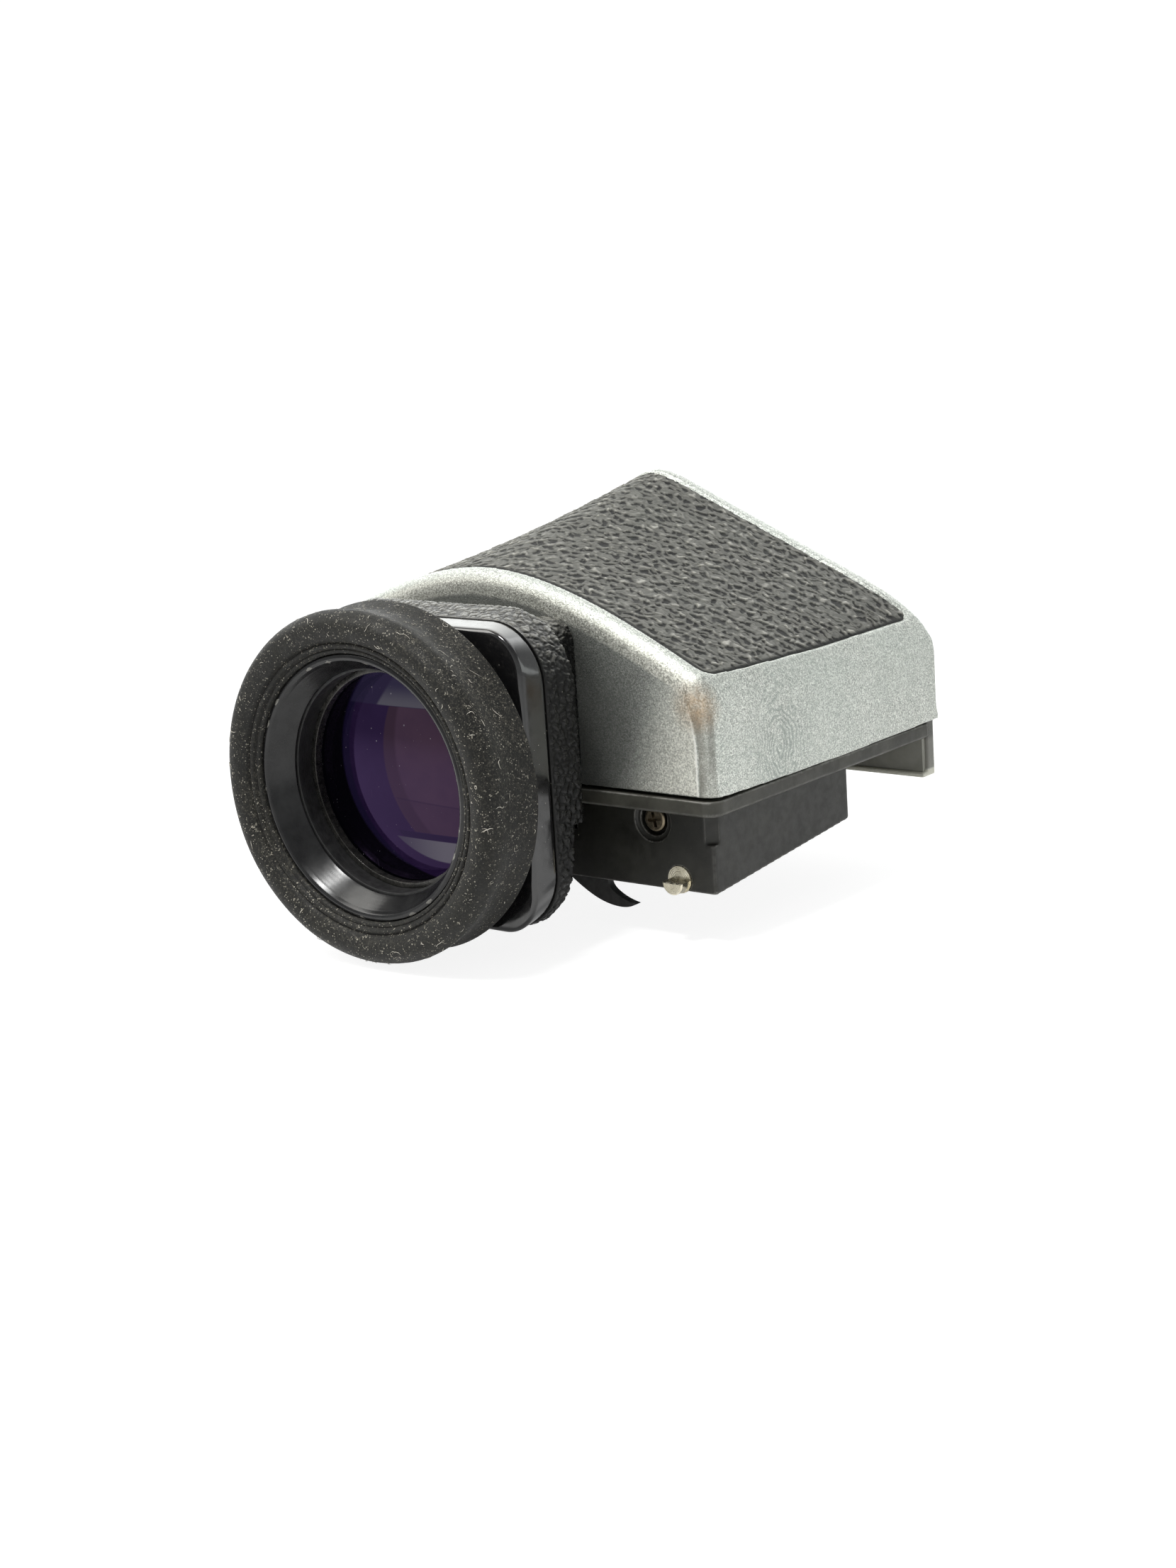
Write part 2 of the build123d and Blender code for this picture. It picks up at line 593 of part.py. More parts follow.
with BuildPart() as prism_cradle:
    with BuildSketch(Plane.XY.offset(PLUG_TOP)):
        with Locations((0, CRADLE_Y)):
            Rectangle(2 * CRADLE_HALF, CRADLE_LENGTH)
        with Locations((0, CRADLE_OPENING_Y)):
            Rectangle(2 * (PRISM_HALF + CRADLE_GAP), CRADLE_OPENING_LENGTH,
                      mode=Mode.SUBTRACT)
    extrude(amount=CRADLE_T)
    for side in (-1, 1):
        with BuildSketch(Plane.XY.offset(PLUG_TOP)):
            with Locations((side * (PRISM_HALF + CRADLE_GAP + CRADLE_T / 2), TAB_Y)):
                Rectangle(CRADLE_T, TAB_LENGTH)
        extrude(amount=TAB_H)
    with BuildSketch(Plane.XY.offset(PLUG_TOP - 1)):
        with Locations(*CRADLE_HOLES):
            Circle(0.95)
    extrude(amount=4, mode=Mode.SUBTRACT)
save(prism_cradle, "prism_cradle")

CRADLE_HEAD_Z = PLUG_TOP + CRADLE_T + 0.02
CRADLE_HEAD_R, CRADLE_HEAD_H = 1.5, 0.9
CRADLE_SHANK_Z, CRADLE_SHANK_R = 0.4, 0.79
CRADLE_CROSS, CRADLE_CROSS_W, CRADLE_CROSS_DEPTH = 1.8, 0.35, 0.5

with BuildPart() as cradle_screws:
    for x, y in CRADLE_HOLES:
        with BuildSketch(Plane.XY.offset(CRADLE_HEAD_Z)):
            with Locations((x, y)):
                Circle(CRADLE_HEAD_R)
        extrude(amount=CRADLE_HEAD_H)
        with BuildSketch(Plane.XY.offset(CRADLE_SHANK_Z)):
            with Locations((x, y)):
                Circle(CRADLE_SHANK_R)
        extrude(amount=CRADLE_HEAD_Z - CRADLE_SHANK_Z)
        with BuildSketch(Plane.XY.offset(CRADLE_HEAD_Z + CRADLE_HEAD_H)):
            with Locations((x, y)):
                Rectangle(CRADLE_CROSS, CRADLE_CROSS_W)
                Rectangle(CRADLE_CROSS_W, CRADLE_CROSS)
        extrude(amount=-CRADLE_CROSS_DEPTH, mode=Mode.SUBTRACT)
save(cradle_screws, "cradle_screws")

# Pads: one on each roof face, under the strap
PAD_START, PAD_END = 2.0, 14.0   # x from the ridge
PAD_STEP = 0.5                   # outward step in both x and height
PAD_RISE = 0.02 * 1.414          # lift off the prism at the ridge

with BuildPart() as prism_pads:
    with BuildSketch(RIDGE_PLANE.offset(6.0)):
        for side in (-1, 1):
            with BuildLine():
                Polyline((side * PAD_START, PAD_RISE - PAD_START),
                         (side * PAD_END, PAD_RISE - PAD_END),
                         (side * (PAD_END + PAD_STEP), PAD_RISE - PAD_END + PAD_STEP),
                         (side * (PAD_START + PAD_STEP), PAD_RISE - PAD_START + PAD_STEP),
                         close=True)
            make_face()
    extrude(amount=7.0)
save(prism_pads, "prism_pads")

# Strap: sheet bent over the roof of the prism
STRAP_GAP, STRAP_T = 0.76, 0.4   # both square to the roof faces
STRAP_REACH = 15.0               # x of the lower ends, inner side
STRAP_INNER = STRAP_GAP * sqrt(2)                # inner and outer height at the ridge
STRAP_OUTER = (STRAP_GAP + STRAP_T) * sqrt(2)
STRAP_STEP = STRAP_T / sqrt(2)
STRAP_END = STRAP_INNER - STRAP_REACH

with BuildPart() as prism_strap:
    with BuildSketch(RIDGE_PLANE.offset(5.4)):
        with BuildLine():
            Polyline((0, STRAP_INNER), (STRAP_REACH, STRAP_END),
                     (STRAP_REACH + STRAP_STEP, STRAP_END + STRAP_STEP), (0, STRAP_OUTER),
                     (-STRAP_REACH - STRAP_STEP, STRAP_END + STRAP_STEP),
                     (-STRAP_REACH, STRAP_END), close=True)
        make_face()
    extrude(amount=8.2)
save(prism_strap, "prism_strap")

# ---------------------------------------------------------------------------
# Eyepiece hood: textured housing and the gloss frame behind it
# ---------------------------------------------------------------------------
HOOD_FRONT_HALF, HOOD_FRONT_CORNER = 20.3, 10.0
HOOD_REAR_HALF, HOOD_REAR_CORNER = 19.05, 5.2
NECK_W, NECK_H, NECK_Z = 31.2, 21.2, 13.05
NECK_REAR, NECK_FRONT = HOOD_FRONT - 0.5, SHELL_REAR - 0.02
STEP_Z = -0.6                    # top of the part that stands back

with BuildPart() as eyepiece_housing:
    with BuildSketch(cross_plane(HOOD_JOINT)):
        with Locations((0, AXIS_Z)):
            RectangleRounded(2 * JOINT_HALF, 2 * JOINT_HALF, JOINT_CORNER)
    with BuildSketch(cross_plane(HOOD_FRONT)):
        with Locations((0, AXIS_Z)):
            RectangleRounded(2 * HOOD_FRONT_HALF, 2 * HOOD_FRONT_HALF, HOOD_FRONT_CORNER)
    loft()
    fillet(eyepiece_housing.edges().group_by(Axis.Y)[-1], radius=0.8)
    # lower front part stands back from the camera body
    with BuildSketch(Plane.YZ):
        with BuildLine():
            Polyline((HOOD_LOW_FRONT, STEP_Z), (HOOD_FRONT + 2, STEP_Z), (HOOD_FRONT + 2, -30),
                     (HOOD_LOW_FRONT - 3.0, -30), (HOOD_LOW_FRONT - 0.9, -9.0), close=True)
        make_face()
    extrude(amount=40, both=True, mode=Mode.SUBTRACT)
    # neck that stands on the shell
    with BuildSketch(cross_plane(NECK_REAR)):
        with Locations((0, NECK_Z)):
            RectangleRounded(NECK_W, NECK_H, 3.0)
    extrude(amount=-(NECK_FRONT - NECK_REAR))
    # bore for the barrel
    with BuildSketch(cross_plane(HOOD_JOINT - 1)):
        with Locations((0, AXIS_Z)):
            Circle(BORE_R)
    extrude(amount=-14, mode=Mode.SUBTRACT)
    # tapped holes for the shell screws
    with BuildSketch(cross_plane(SHELL_REAR - 4.2)):
        with Locations(*HOUSING_HOLES):
            Circle(0.9)
    extrude(amount=-6, mode=Mode.SUBTRACT)
save(eyepiece_housing, "eyepiece_housing")

with BuildPart() as eyepiece_front_frame:
    with BuildSketch(cross_plane(HOOD_REAR)):
        with Locations((0, AXIS_Z)):
            RectangleRounded(2 * HOOD_REAR_HALF, 2 * HOOD_REAR_HALF, HOOD_REAR_CORNER)
    with BuildSketch(cross_plane(HOOD_JOINT - 0.02)):
        with Locations((0, AXIS_Z)):
            RectangleRounded(2 * JOINT_HALF - 0.3, 2 * JOINT_HALF - 0.3, JOINT_CORNER)
    loft()
    fillet(eyepiece_front_frame.edges().group_by(Axis.Y)[0], radius=0.55)
    with BuildSketch(cross_plane(HOOD_REAR - 1)):
        with Locations((0, AXIS_Z)):
            Circle(BORE_R)
    extrude(amount=-8, mode=Mode.SUBTRACT)
save(eyepiece_front_frame, "eyepiece_front_frame")

# Housing screws: heads inside the shell, shanks pointing to the rear
HOUSING_HEAD_Y = SHELL_REAR + WALL + 0.02
HOUSING_HEAD_R, HOUSING_HEAD_H = 1.75, 1.0
HOUSING_SHANK_Y, HOUSING_SHANK_R, HOUSING_SHANK_LENGTH = -20.2, 0.88, 5.6
HOUSING_CROSS, HOUSING_CROSS_W, HOUSING_CROSS_DEPTH = 1.9, 0.38, 0.5

with BuildPart() as housing_screws:
    for x, z in HOUSING_HOLES:
        with BuildSketch(cross_plane(HOUSING_HEAD_Y)):
            with Locations((x, z)):
                Circle(HOUSING_HEAD_R)
        extrude(amount=-HOUSING_HEAD_H)
        with BuildSketch(cross_plane(HOUSING_SHANK_Y)):
            with Locations((x, z)):
                Circle(HOUSING_SHANK_R)
        extrude(amount=-HOUSING_SHANK_LENGTH)
        with BuildSketch(cross_plane(HOUSING_HEAD_Y + HOUSING_HEAD_H)):
            with Locations((x, z)):
                Rectangle(HOUSING_CROSS, HOUSING_CROSS_W)
                Rectangle(HOUSING_CROSS_W, HOUSING_CROSS)
        extrude(amount=HOUSING_CROSS_DEPTH, mode=Mode.SUBTRACT)
save(housing_screws, "housing_screws")


# ---------------------------------------------------------------------------
# Turned pieces and lenses on the eyepiece axis
# ---------------------------------------------------------------------------
def save_turned(name, outline):
    """Turn an outline of (radius, y) points about the eyepiece axis and save it."""
    with BuildSketch(Plane.XY) as section:
        with BuildLine():
            Polyline(*outline, close=True)
        make_face()
    with BuildPart() as turned:
        add(section.sketch)
        revolve(axis=EYE_AXIS, revolution_arc=360)
    with BuildPart() as piece:
        add(turned.part.moved(TO_AXIS))
    save(piece, name)


def crown_radius(radius, sag):
    """Sphere radius of a lens face of the given rim radius and sag."""
    return (radius * radius + sag * sag) / (2 * sag)


save_turned("lens_barrel", [
    (13.0, -15.4), (14.5, -15.4), (14.5, SHELL_REAR - 0.02), (BARREL_R, SHELL_REAR - 0.02),
    (BARREL_R, HOOD_REAR - 2.5), (14.9, HOOD_REAR - 2.8), (14.9, -36.9), (14.1, -36.9),
    (14.1, -29.4), (13.0, -29.4)])

# eye lens: convex towards the eye, hollow towards the prism
EYE_LENS_R, EYE_LENS_REAR, EYE_LENS_FRONT = 14.05, -34.3, -29.4
HOLLOW_SAG = 0.9
EYE_REAR_CROWN = crown_radius(EYE_LENS_R, 1.3)
EYE_FRONT_CROWN = crown_radius(12.2, HOLLOW_SAG)

with BuildPart() as eye_lens:
    with BuildSketch(cross_plane(EYE_LENS_REAR)):
        with Locations((0, AXIS_Z)):
            Circle(EYE_LENS_R)
    extrude(amount=-(EYE_LENS_FRONT - EYE_LENS_REAR))
    with Locations((0, EYE_LENS_REAR + EYE_REAR_CROWN, AXIS_Z)):
        Sphere(EYE_REAR_CROWN, mode=Mode.INTERSECT)
    with Locations((0, EYE_LENS_FRONT - HOLLOW_SAG + EYE_FRONT_CROWN, AXIS_Z)):
        Sphere(EYE_FRONT_CROWN, mode=Mode.SUBTRACT)
save(eye_lens, "eye_lens")

save_turned("lens_retaining_ring", [
    (13.4, -34.5), (14.05, -34.5), (14.05, -33.1), (13.7, -33.15), (13.4, -33.3)])

# field lens in front of the spacer, convex on both faces
FIELD_LENS_REAR, FIELD_LENS_FRONT = -22.4, -16.6
FIELD_REAR_CROWN = crown_radius(12.95, 0.8)
FIELD_FRONT_CROWN = crown_radius(12.95, 1.0)

with BuildPart() as rear_lens:
    with BuildSketch(cross_plane(FIELD_LENS_REAR)):
        with Locations((0, AXIS_Z)):
            Circle(12.93)
    extrude(amount=-(FIELD_LENS_FRONT - FIELD_LENS_REAR))
    with Locations((0, FIELD_LENS_REAR + FIELD_REAR_CROWN, AXIS_Z)):
        Sphere(FIELD_REAR_CROWN, mode=Mode.INTERSECT)
    with Locations((0, FIELD_LENS_FRONT - FIELD_FRONT_CROWN, AXIS_Z)):
        Sphere(FIELD_FRONT_CROWN, mode=Mode.INTERSECT)
save(rear_lens, "rear_lens")

save_turned("lens_spacer", [
    (11.9, -29.3), (12.95, -29.3), (12.95, -21.70), (12.4, -21.75), (11.9, -21.9)])

# ring that holds the field lens from the front
save_turned("rear_lock_ring", [
    (11.6, -17.25), (12.4, -17.45), (12.95, -17.52), (12.95, -15.6), (11.6, -15.6)])

# satin cone with a thin lip, on the barrel nose
save_turned("eyecup_ring", [
    (16.0, LIP_Y), (16.35, LIP_Y - 0.12), (16.75, LIP_Y), (16.85, LIP_Y + 0.5),
    (16.85, -39.2), (16.35, -39.2), (16.35, -34.6), (16.9, -34.6), (16.9, HOOD_REAR - 0.05),
    (15.3, HOOD_REAR - 0.05), (15.3, HOOD_REAR - 2.9), (14.95, HOOD_REAR - 3.2),
    (14.95, -36.95), (14.4, -37.0), (14.4, -37.2), (15.75, LIP_Y + 0.35)])

# ---------------------------------------------------------------------------
# Rubber eyecup: soft ring that snaps into the groove of the eyecup ring
# ---------------------------------------------------------------------------
GROOVE_R = 16.35 + RUN
# outlines as (radius, y)
CUP_INNER = [
    (GROOVE_R, -34.65), (GROOVE_R, -39.15), (16.85 + RUN, -39.15), (16.85 + RUN, -40.65),
    (17.1, -40.95), (17.45, -41.0), (17.6, -41.25), (18.1, -41.4), (18.3, -41.3),
    (18.5, -41.65), (18.9, -41.85)]
CUP_REAR = [(18.9, -41.85), (19.9, -42.35), (21.1, -42.15), (22.0, -41.2), (22.3, -40.0)]
CUP_OUTER = [(22.3, -40.0), (21.85, -38.2), (21.7, -36.6), (21.95, -34.8), (22.25, CUP_FRONT)]
CUP_FRONT_SIDE = [
    (22.25, CUP_FRONT), (21.5, CUP_FRONT + 0.15), (20.7, CUP_FRONT - 0.2), (20.4, -34.6),
    (19.6, -37.2), (18.2, -37.4), (17.6, -36.0), (17.4, -34.65), (GROOVE_R, -34.65)]

with BuildPart() as cup_on_origin:
    with BuildSketch(Plane.XY):
        with BuildLine():
            Polyline(*CUP_INNER)
            Spline(*CUP_REAR, tangents=((1, -0.5), (0.05, 1)))
            Spline(*CUP_OUTER, tangents=((-0.1, 1), (0.25, 1)))
            Polyline(*CUP_FRONT_SIDE)
        make_face()
    revolve(axis=EYE_AXIS, revolution_arc=360)
with BuildPart() as rubber_eyecup:
    add(cup_on_origin.part.moved(TO_AXIS))
save(rubber_eyecup, "rubber_eyecup")

# ---------------------------------------------------------------------------
# Locking pins: round shanks with half-round noses, flat side up
# ---------------------------------------------------------------------------
NOSE_HALF, NOSE_DEPTH, NOSE_LENGTH = 1.55, 1.6, 1.75

with BuildPart() as locking_pins:
    with BuildSketch(cross_plane(BLOCK_REAR - 0.12)):
        with Locations(*PIN_CENTRES):
            Circle(PIN_R)
    extrude(amount=-PIN_DEPTH)
    for x, z in PIN_CENTRES:
        with BuildSketch(cross_plane(BLOCK_REAR - NOSE_LENGTH)):
            with BuildLine():
                Line((x - NOSE_HALF, z), (x + NOSE_HALF, z))
                ThreePointArc((x + NOSE_HALF, z), (x, z - NOSE_DEPTH), (x - NOSE_HALF, z))
            make_face()
        extrude(amount=-NOSE_LENGTH)
    chamfer(locking_pins.edges().group_by(Axis.Y)[0], length=0.15)
save(locking_pins, "locking_pins")

# Rear screws in their counterbores; y values are depths from the block's rear face
BLOCK_HEAD_Y, BLOCK_HEAD_R, BLOCK_HEAD_H = 0.35, 1.62, 0.98
BLOCK_SHANK_Y, BLOCK_SHANK_R, BLOCK_SHANK_LENGTH = 1.2, 0.98, 2.3
BLOCK_CROSS_Y, BLOCK_CROSS_DEPTH = 0.3, 0.7
BLOCK_CROSS, BLOCK_CROSS_W, BLOCK_CROSS_ANGLE = 2.0, 0.42, 12

with BuildPart() as block_screws:
    for x, z in BLOCK_HOLES:
        with BuildSketch(cross_plane(BLOCK_REAR + BLOCK_HEAD_Y)):
            with Locations((x, z)):
                Circle(BLOCK_HEAD_R)
        extrude(amount=-BLOCK_HEAD_H)
    fillet(block_screws.edges().group_by(Axis.Y)[0], radius=0.35)
    for x, z in BLOCK_HOLES:
        with BuildSketch(cross_plane(BLOCK_REAR + BLOCK_SHANK_Y)):
            with Locations((x, z)):
                Circle(BLOCK_SHANK_R)
        extrude(amount=-BLOCK_SHANK_LENGTH)
        with BuildSketch(cross_plane(BLOCK_REAR + BLOCK_CROSS_Y)):
            with Locations(Location((x, z), BLOCK_CROSS_ANGLE)):
                Rectangle(BLOCK_CROSS, BLOCK_CROSS_W)
                Rectangle(BLOCK_CROSS_W, BLOCK_CROSS)
        extrude(amount=-BLOCK_CROSS_DEPTH, mode=Mode.SUBTRACT)
save(block_screws, "block_screws")

# ---------------------------------------------------------------------------
# Latch claw: curved blade that hangs below the block, on a pivot pin
# ---------------------------------------------------------------------------
# outlines as (x, z)
CLAW_UNDERSIDE = [
    (7.0, -9.0), (9.2, -10.9), (11.6, -12.5), (14.2, -13.75), (16.6, -14.3),
    (18.6, -14.25), (19.9, -13.75)]
CLAW_HOOK = [(19.9, -13.75), (18.3, -13.35), (16.9, -12.7), (15.9, -11.9), (15.6, -11.2)]
CLAW_TOP = [(15.6, -11.2), (15.7, -10.4), (15.2, -9.2), (12.4, -7.3), (9.9, -6.85)]
CLAW_HEEL = [(9.9, -6.85), (8.0, -7.4), (7.0, -9.0)]

with BuildPart() as latch_claw:
    with BuildSketch(cross_plane(CLAW_REAR)):
        with BuildLine():
            Spline(*CLAW_UNDERSIDE)
            Spline(*CLAW_HOOK)
            Polyline(*CLAW_TOP)
            ThreePointArc(*CLAW_HEEL)
        make_face()
        with Locations((PIVOT_X, PIVOT_Z)):
            Circle(PIVOT_R + RUN, mode=Mode.SUBTRACT)
    extrude(amount=-CLAW_T)
save(latch_claw, "latch_claw")

with BuildPart() as claw_pivot_pin:
    with BuildSketch(cross_plane(PIVOT_REAR)):
        with Locations((PIVOT_X, PIVOT_Z)):
            Circle(PIVOT_R)
    extrude(amount=-PIVOT_LENGTH)
save(claw_pivot_pin, "claw_pivot_pin")

# Torsion spring: one flat turn round the pivot pin with two straight legs
COIL_R, WIRE_R, COIL_PITCH = 1.16, 0.12, 0.27
COIL_Y = CLAW_REAR + CLAW_T + 0.24
# legs: y, start z from the pivot, length (negative runs down)
SPRING_LEGS = [(COIL_Y, -0.4, 2.1), (COIL_Y + COIL_PITCH, 0.4, -2.0)]

with BuildPart() as coil_upright:
    with BuildLine():
        coil = Helix(pitch=COIL_PITCH, height=COIL_PITCH, radius=COIL_R)
    with BuildSketch(Plane(origin=coil @ 0, z_dir=coil % 0)):
        Circle(WIRE_R)
    sweep(is_frenet=True)
with BuildPart() as claw_spring:
    add(coil_upright.part.rotate(Axis.X, -90).moved(Location((PIVOT_X, COIL_Y, PIVOT_Z))))
    for y, start, length in SPRING_LEGS:
        with BuildSketch(Plane.XY.offset(PIVOT_Z + start)):
            with Locations((PIVOT_X + COIL_R, y)):
                Circle(WIRE_R + 0.01)
        extrude(amount=length)
save(claw_spring, "claw_spring")
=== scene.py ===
# Prism viewfinder with a round eyepiece: the looks built over its CAD pieces.
# x runs across and is mirrored about x = 0, +y is the front, -y the back with the
# eyepiece and its rubber cup, +z is up. The eyepiece axis lies along y at AXIS_Z.
# Lengths are millimetres until a mesh, light or camera is written, in metres.
import json
import math

import bmesh
import bpy
import numpy as np
from mathutils import Matrix, Vector
from mathutils.bvhtree import BVHTree


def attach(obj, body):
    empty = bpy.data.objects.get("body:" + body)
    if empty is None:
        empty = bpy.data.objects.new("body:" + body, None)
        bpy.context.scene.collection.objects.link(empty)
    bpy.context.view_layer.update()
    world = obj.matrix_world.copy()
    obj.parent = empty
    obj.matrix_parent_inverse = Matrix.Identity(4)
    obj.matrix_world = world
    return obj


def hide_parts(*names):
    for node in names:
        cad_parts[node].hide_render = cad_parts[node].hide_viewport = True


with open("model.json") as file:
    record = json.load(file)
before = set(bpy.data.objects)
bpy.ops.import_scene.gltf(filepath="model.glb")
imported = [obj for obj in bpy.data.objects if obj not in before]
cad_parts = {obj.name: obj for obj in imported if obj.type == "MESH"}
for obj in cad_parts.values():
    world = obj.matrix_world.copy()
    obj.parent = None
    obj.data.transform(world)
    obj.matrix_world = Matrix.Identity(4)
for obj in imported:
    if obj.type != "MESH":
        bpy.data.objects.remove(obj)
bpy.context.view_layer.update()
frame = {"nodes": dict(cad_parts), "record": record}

MM = 0.001
AXIS_Z = 5.7
FLOOR_Z = -17.2

# Voxel sizes of the fine skins, and the point spacing of the leatherette.
SHELL_VOXEL = 0.22
MOULDING_VOXEL = 0.15
SHEET_PITCH = 0.125

# Eyepiece radii, and places along y.
RING_NECK = 16.35       # eyecup ring, where the rubber grips it
RING_RADIUS = 16.85     # eyecup ring, at its lip
RING_LIP_Y = -40.5
BARREL_RADIUS = 15.15
LENS_RADIUS = 14.03
LENS_POLE_Y = -34.3     # middle of the outer lens face
LENS_BACK_Y = -29.4
FRAME_INNER_Y = -27.22  # gloss frame, face against the hood
FRAME_OUTER_Y = -31.4   # gloss frame, face towards the eye
SHELL_BACK_Y = -16.62   # just clear of the shell's back face

NODES = frame["nodes"]
RNG = np.random.default_rng(11)
scene = bpy.context.scene


# ---------------------------------------------------------------------------
# Noise on arrays
# ---------------------------------------------------------------------------
def lattice_hash(ix, iy, iz, seed):
    """Repeatable random number, 0 to 1, for each whole-number place."""
    h = (ix * 374761393 + iy * 668265263 + iz * 2147483647 + seed * 1274126177) & 0xFFFFFFFF
    h = ((h ^ (h >> 13)) * 1274126177) & 0xFFFFFFFF
    h = ((h ^ (h >> 15)) * 2246822519) & 0xFFFFFFFF
    h = h ^ (h >> 16)
    return (h & 0xFFFFF) / 1048575.0


def value_noise(points, seed):
    """Value noise of an (n, 3) array, about -1 to 1."""
    floor = np.floor(points)
    cell = floor.astype(np.int64)
    t = points - floor
    t = t * t * (3 - 2 * t)
    total = np.zeros(len(points))
    for dx in (0, 1):
        wx = t[:, 0] if dx else 1 - t[:, 0]
        for dy in (0, 1):
            wy = t[:, 1] if dy else 1 - t[:, 1]
            for dz in (0, 1):
                wz = t[:, 2] if dz else 1 - t[:, 2]
                corner = lattice_hash(cell[:, 0] + dx, cell[:, 1] + dy, cell[:, 2] + dz, seed)
                total += wx * wy * wz * corner
    return total * 2 - 1


def pebbles(x, y, seed, jitter):
    """Offset from the nearest centre of a staggered, jittered lattice, and two ids of it."""
    row = np.floor(y).astype(np.int64)
    best = np.full(len(x), 9.0)
    near_u, near_v, id_a, id_b = (np.zeros(len(x)) for _ in range(4))
    zero = np.zeros_like(row)
    for dy in (-1, 0, 1):
        cy = row + dy
        shift = 0.5 * (cy % 2) + 0.22 * (lattice_hash(cy, zero, zero, seed + 3) - 0.5)
        column = np.floor(x - shift).astype(np.int64)
        for dx in (-1, 0, 1):
            cx = column + dx
            px = cx + 0.5 + shift + (lattice_hash(cx, cy, zero, seed) - 0.5) * jitter
            py = cy + 0.5 + (lattice_hash(cx, cy, zero + 5, seed) - 0.5) * jitter
            distance = np.hypot(px - x, (py - y) * 1.1)
            near = distance < best
            best = np.where(near, distance, best)
            near_u = np.where(near, x - px, near_u)
            near_v = np.where(near, y - py, near_v)
            id_a = np.where(near, lattice_hash(cx, cy, zero + 9, seed), id_a)
            id_b = np.where(near, lattice_hash(cx, cy, zero + 13, seed), id_b)
    return near_u, near_v, id_a, id_b


def cell_gap(points, seed, jitter=0.9):
    """Second nearest less nearest feature distance: 0 on the walls between cells."""
    home = np.floor(points).astype(np.int64)
    first = np.full(len(points), 9.0)
    second = np.full(len(points), 9.0)
    for dx in (-1, 0, 1):
        for dy in (-1, 0, 1):
            for dz in (-1, 0, 1):
                cell = home + np.array([dx, dy, dz])
                square = 0
                for k in range(3):
                    value = lattice_hash(cell[:, 0], cell[:, 1], cell[:, 2], seed + 31 * k)
                    square = square + (cell[:, k] + 0.5 + (value - 0.5) * jitter
                                       - points[:, k]) ** 2
                distance = np.sqrt(square)
                near = distance < first
                second = np.where(near, first, np.minimum(second, distance))
                first = np.minimum(first, distance)
    return second - first


def eased(value, start, end):
    """Smooth step from 0 at start to 1 at end."""
    t = np.clip((value - start) / (end - start), 0, 1)
    return t * t * (3 - 2 * t)


# ---------------------------------------------------------------------------
# Mesh helpers
# ---------------------------------------------------------------------------
def write_points(mesh, points):
    mesh.vertices.foreach_set("co", (points * MM).astype(np.float32).ravel())


def write_attributes(mesh, attributes):
    for name, values in attributes.items():
        attribute = mesh.attributes.new(name, "FLOAT", "POINT")
        attribute.data.foreach_set("value", np.asarray(values, np.float32))


def shade_smooth(mesh):
    mesh.polygons.foreach_set("use_smooth", np.ones(len(mesh.polygons), bool))


def add_object(name, mesh):
    ob = bpy.data.objects.new(name, mesh)
    scene.collection.objects.link(ob)
    return ob


def build(name, points, quads=None, tris=None, attributes=None, smooth=True):
    points = np.asarray(points, float)
    mesh = bpy.data.meshes.new(name)
    mesh.vertices.add(len(points))
    write_points(mesh, points)
    corners, starts = [], []
    count = 0
    for faces in (quads, tris):
        if faces is None:
            continue
        faces = np.asarray(faces, np.int32)
        corners.append(faces.ravel())
        starts.append(count + np.arange(len(faces), dtype=np.int32) * faces.shape[1])
        count += faces.size
    corners, starts = np.concatenate(corners), np.concatenate(starts)
    mesh.loops.add(len(corners))
    mesh.loops.foreach_set("vertex_index", corners)
    mesh.polygons.add(len(starts))
    mesh.polygons.foreach_set("loop_start", starts)
    mesh.update(calc_edges=True)
    mesh.validate()
    if smooth:
        shade_smooth(mesh)
    write_attributes(mesh, attributes or {})
    return add_object(name, mesh)


def sharpen(ob, degrees):
    ob.data.set_sharp_from_angle(angle=math.radians(degrees))


def set_material(ob, key):
    ob.data.materials.clear()
    ob.data.materials.append(MATERIALS[key])


def finish_piece(ob, slot, *replaced, look=None, body="finder"):
    set_material(ob, look or slot)
    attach(ob, body)
    if replaced:
        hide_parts(*replaced)


def soften(points, radius, closed=True, steps=3):
    """Rounds each corner of a profile with a short curve."""
    points = [np.array(p, float) for p in points]
    last = len(points) - 1
    out = []
    for i, p in enumerate(points):
        if not closed and i in (0, last):
            out.append(p)
            continue
        before, after = points[i - 1], points[(i + 1) % len(points)]
        to_before, to_after = np.linalg.norm(before - p), np.linalg.norm(after - p)
        cut = min(radius, 0.42 * to_before, 0.42 * to_after)
        start = p + (before - p) / to_before * cut
        end = p + (after - p) / to_after * cut
        for k in range(steps + 1):
            t = k / steps
            out.append((1 - t) ** 2 * start + 2 * t * (1 - t) * p + t * t * end)
    return np.array(out)


def resample(points, step):
    """Adds points to a closed profile so that no span exceeds step; corners stay."""
    out = []
    for i, start in enumerate(points):
        end = points[(i + 1) % len(points)]
        spans = max(1, int(math.ceil(np.linalg.norm(end - start) / step)))
        for j in range(spans):
            out.append(start + (end - start) * j / spans)
    return np.array(out)


def grid_quads(rows, columns, wrap_rows, wrap_columns):
    r = np.arange(rows if wrap_rows else rows - 1)
    c = np.arange(columns if wrap_columns else columns - 1)
    r0, c0 = np.meshgrid(r, c, indexing="ij")
    r1, c1 = (r0 + 1) % rows, (c0 + 1) % columns
    corners = [r0 * columns + c0, r0 * columns + c1, r1 * columns + c1, r1 * columns + c0]
    return np.stack(corners, -1).reshape(-1, 4)


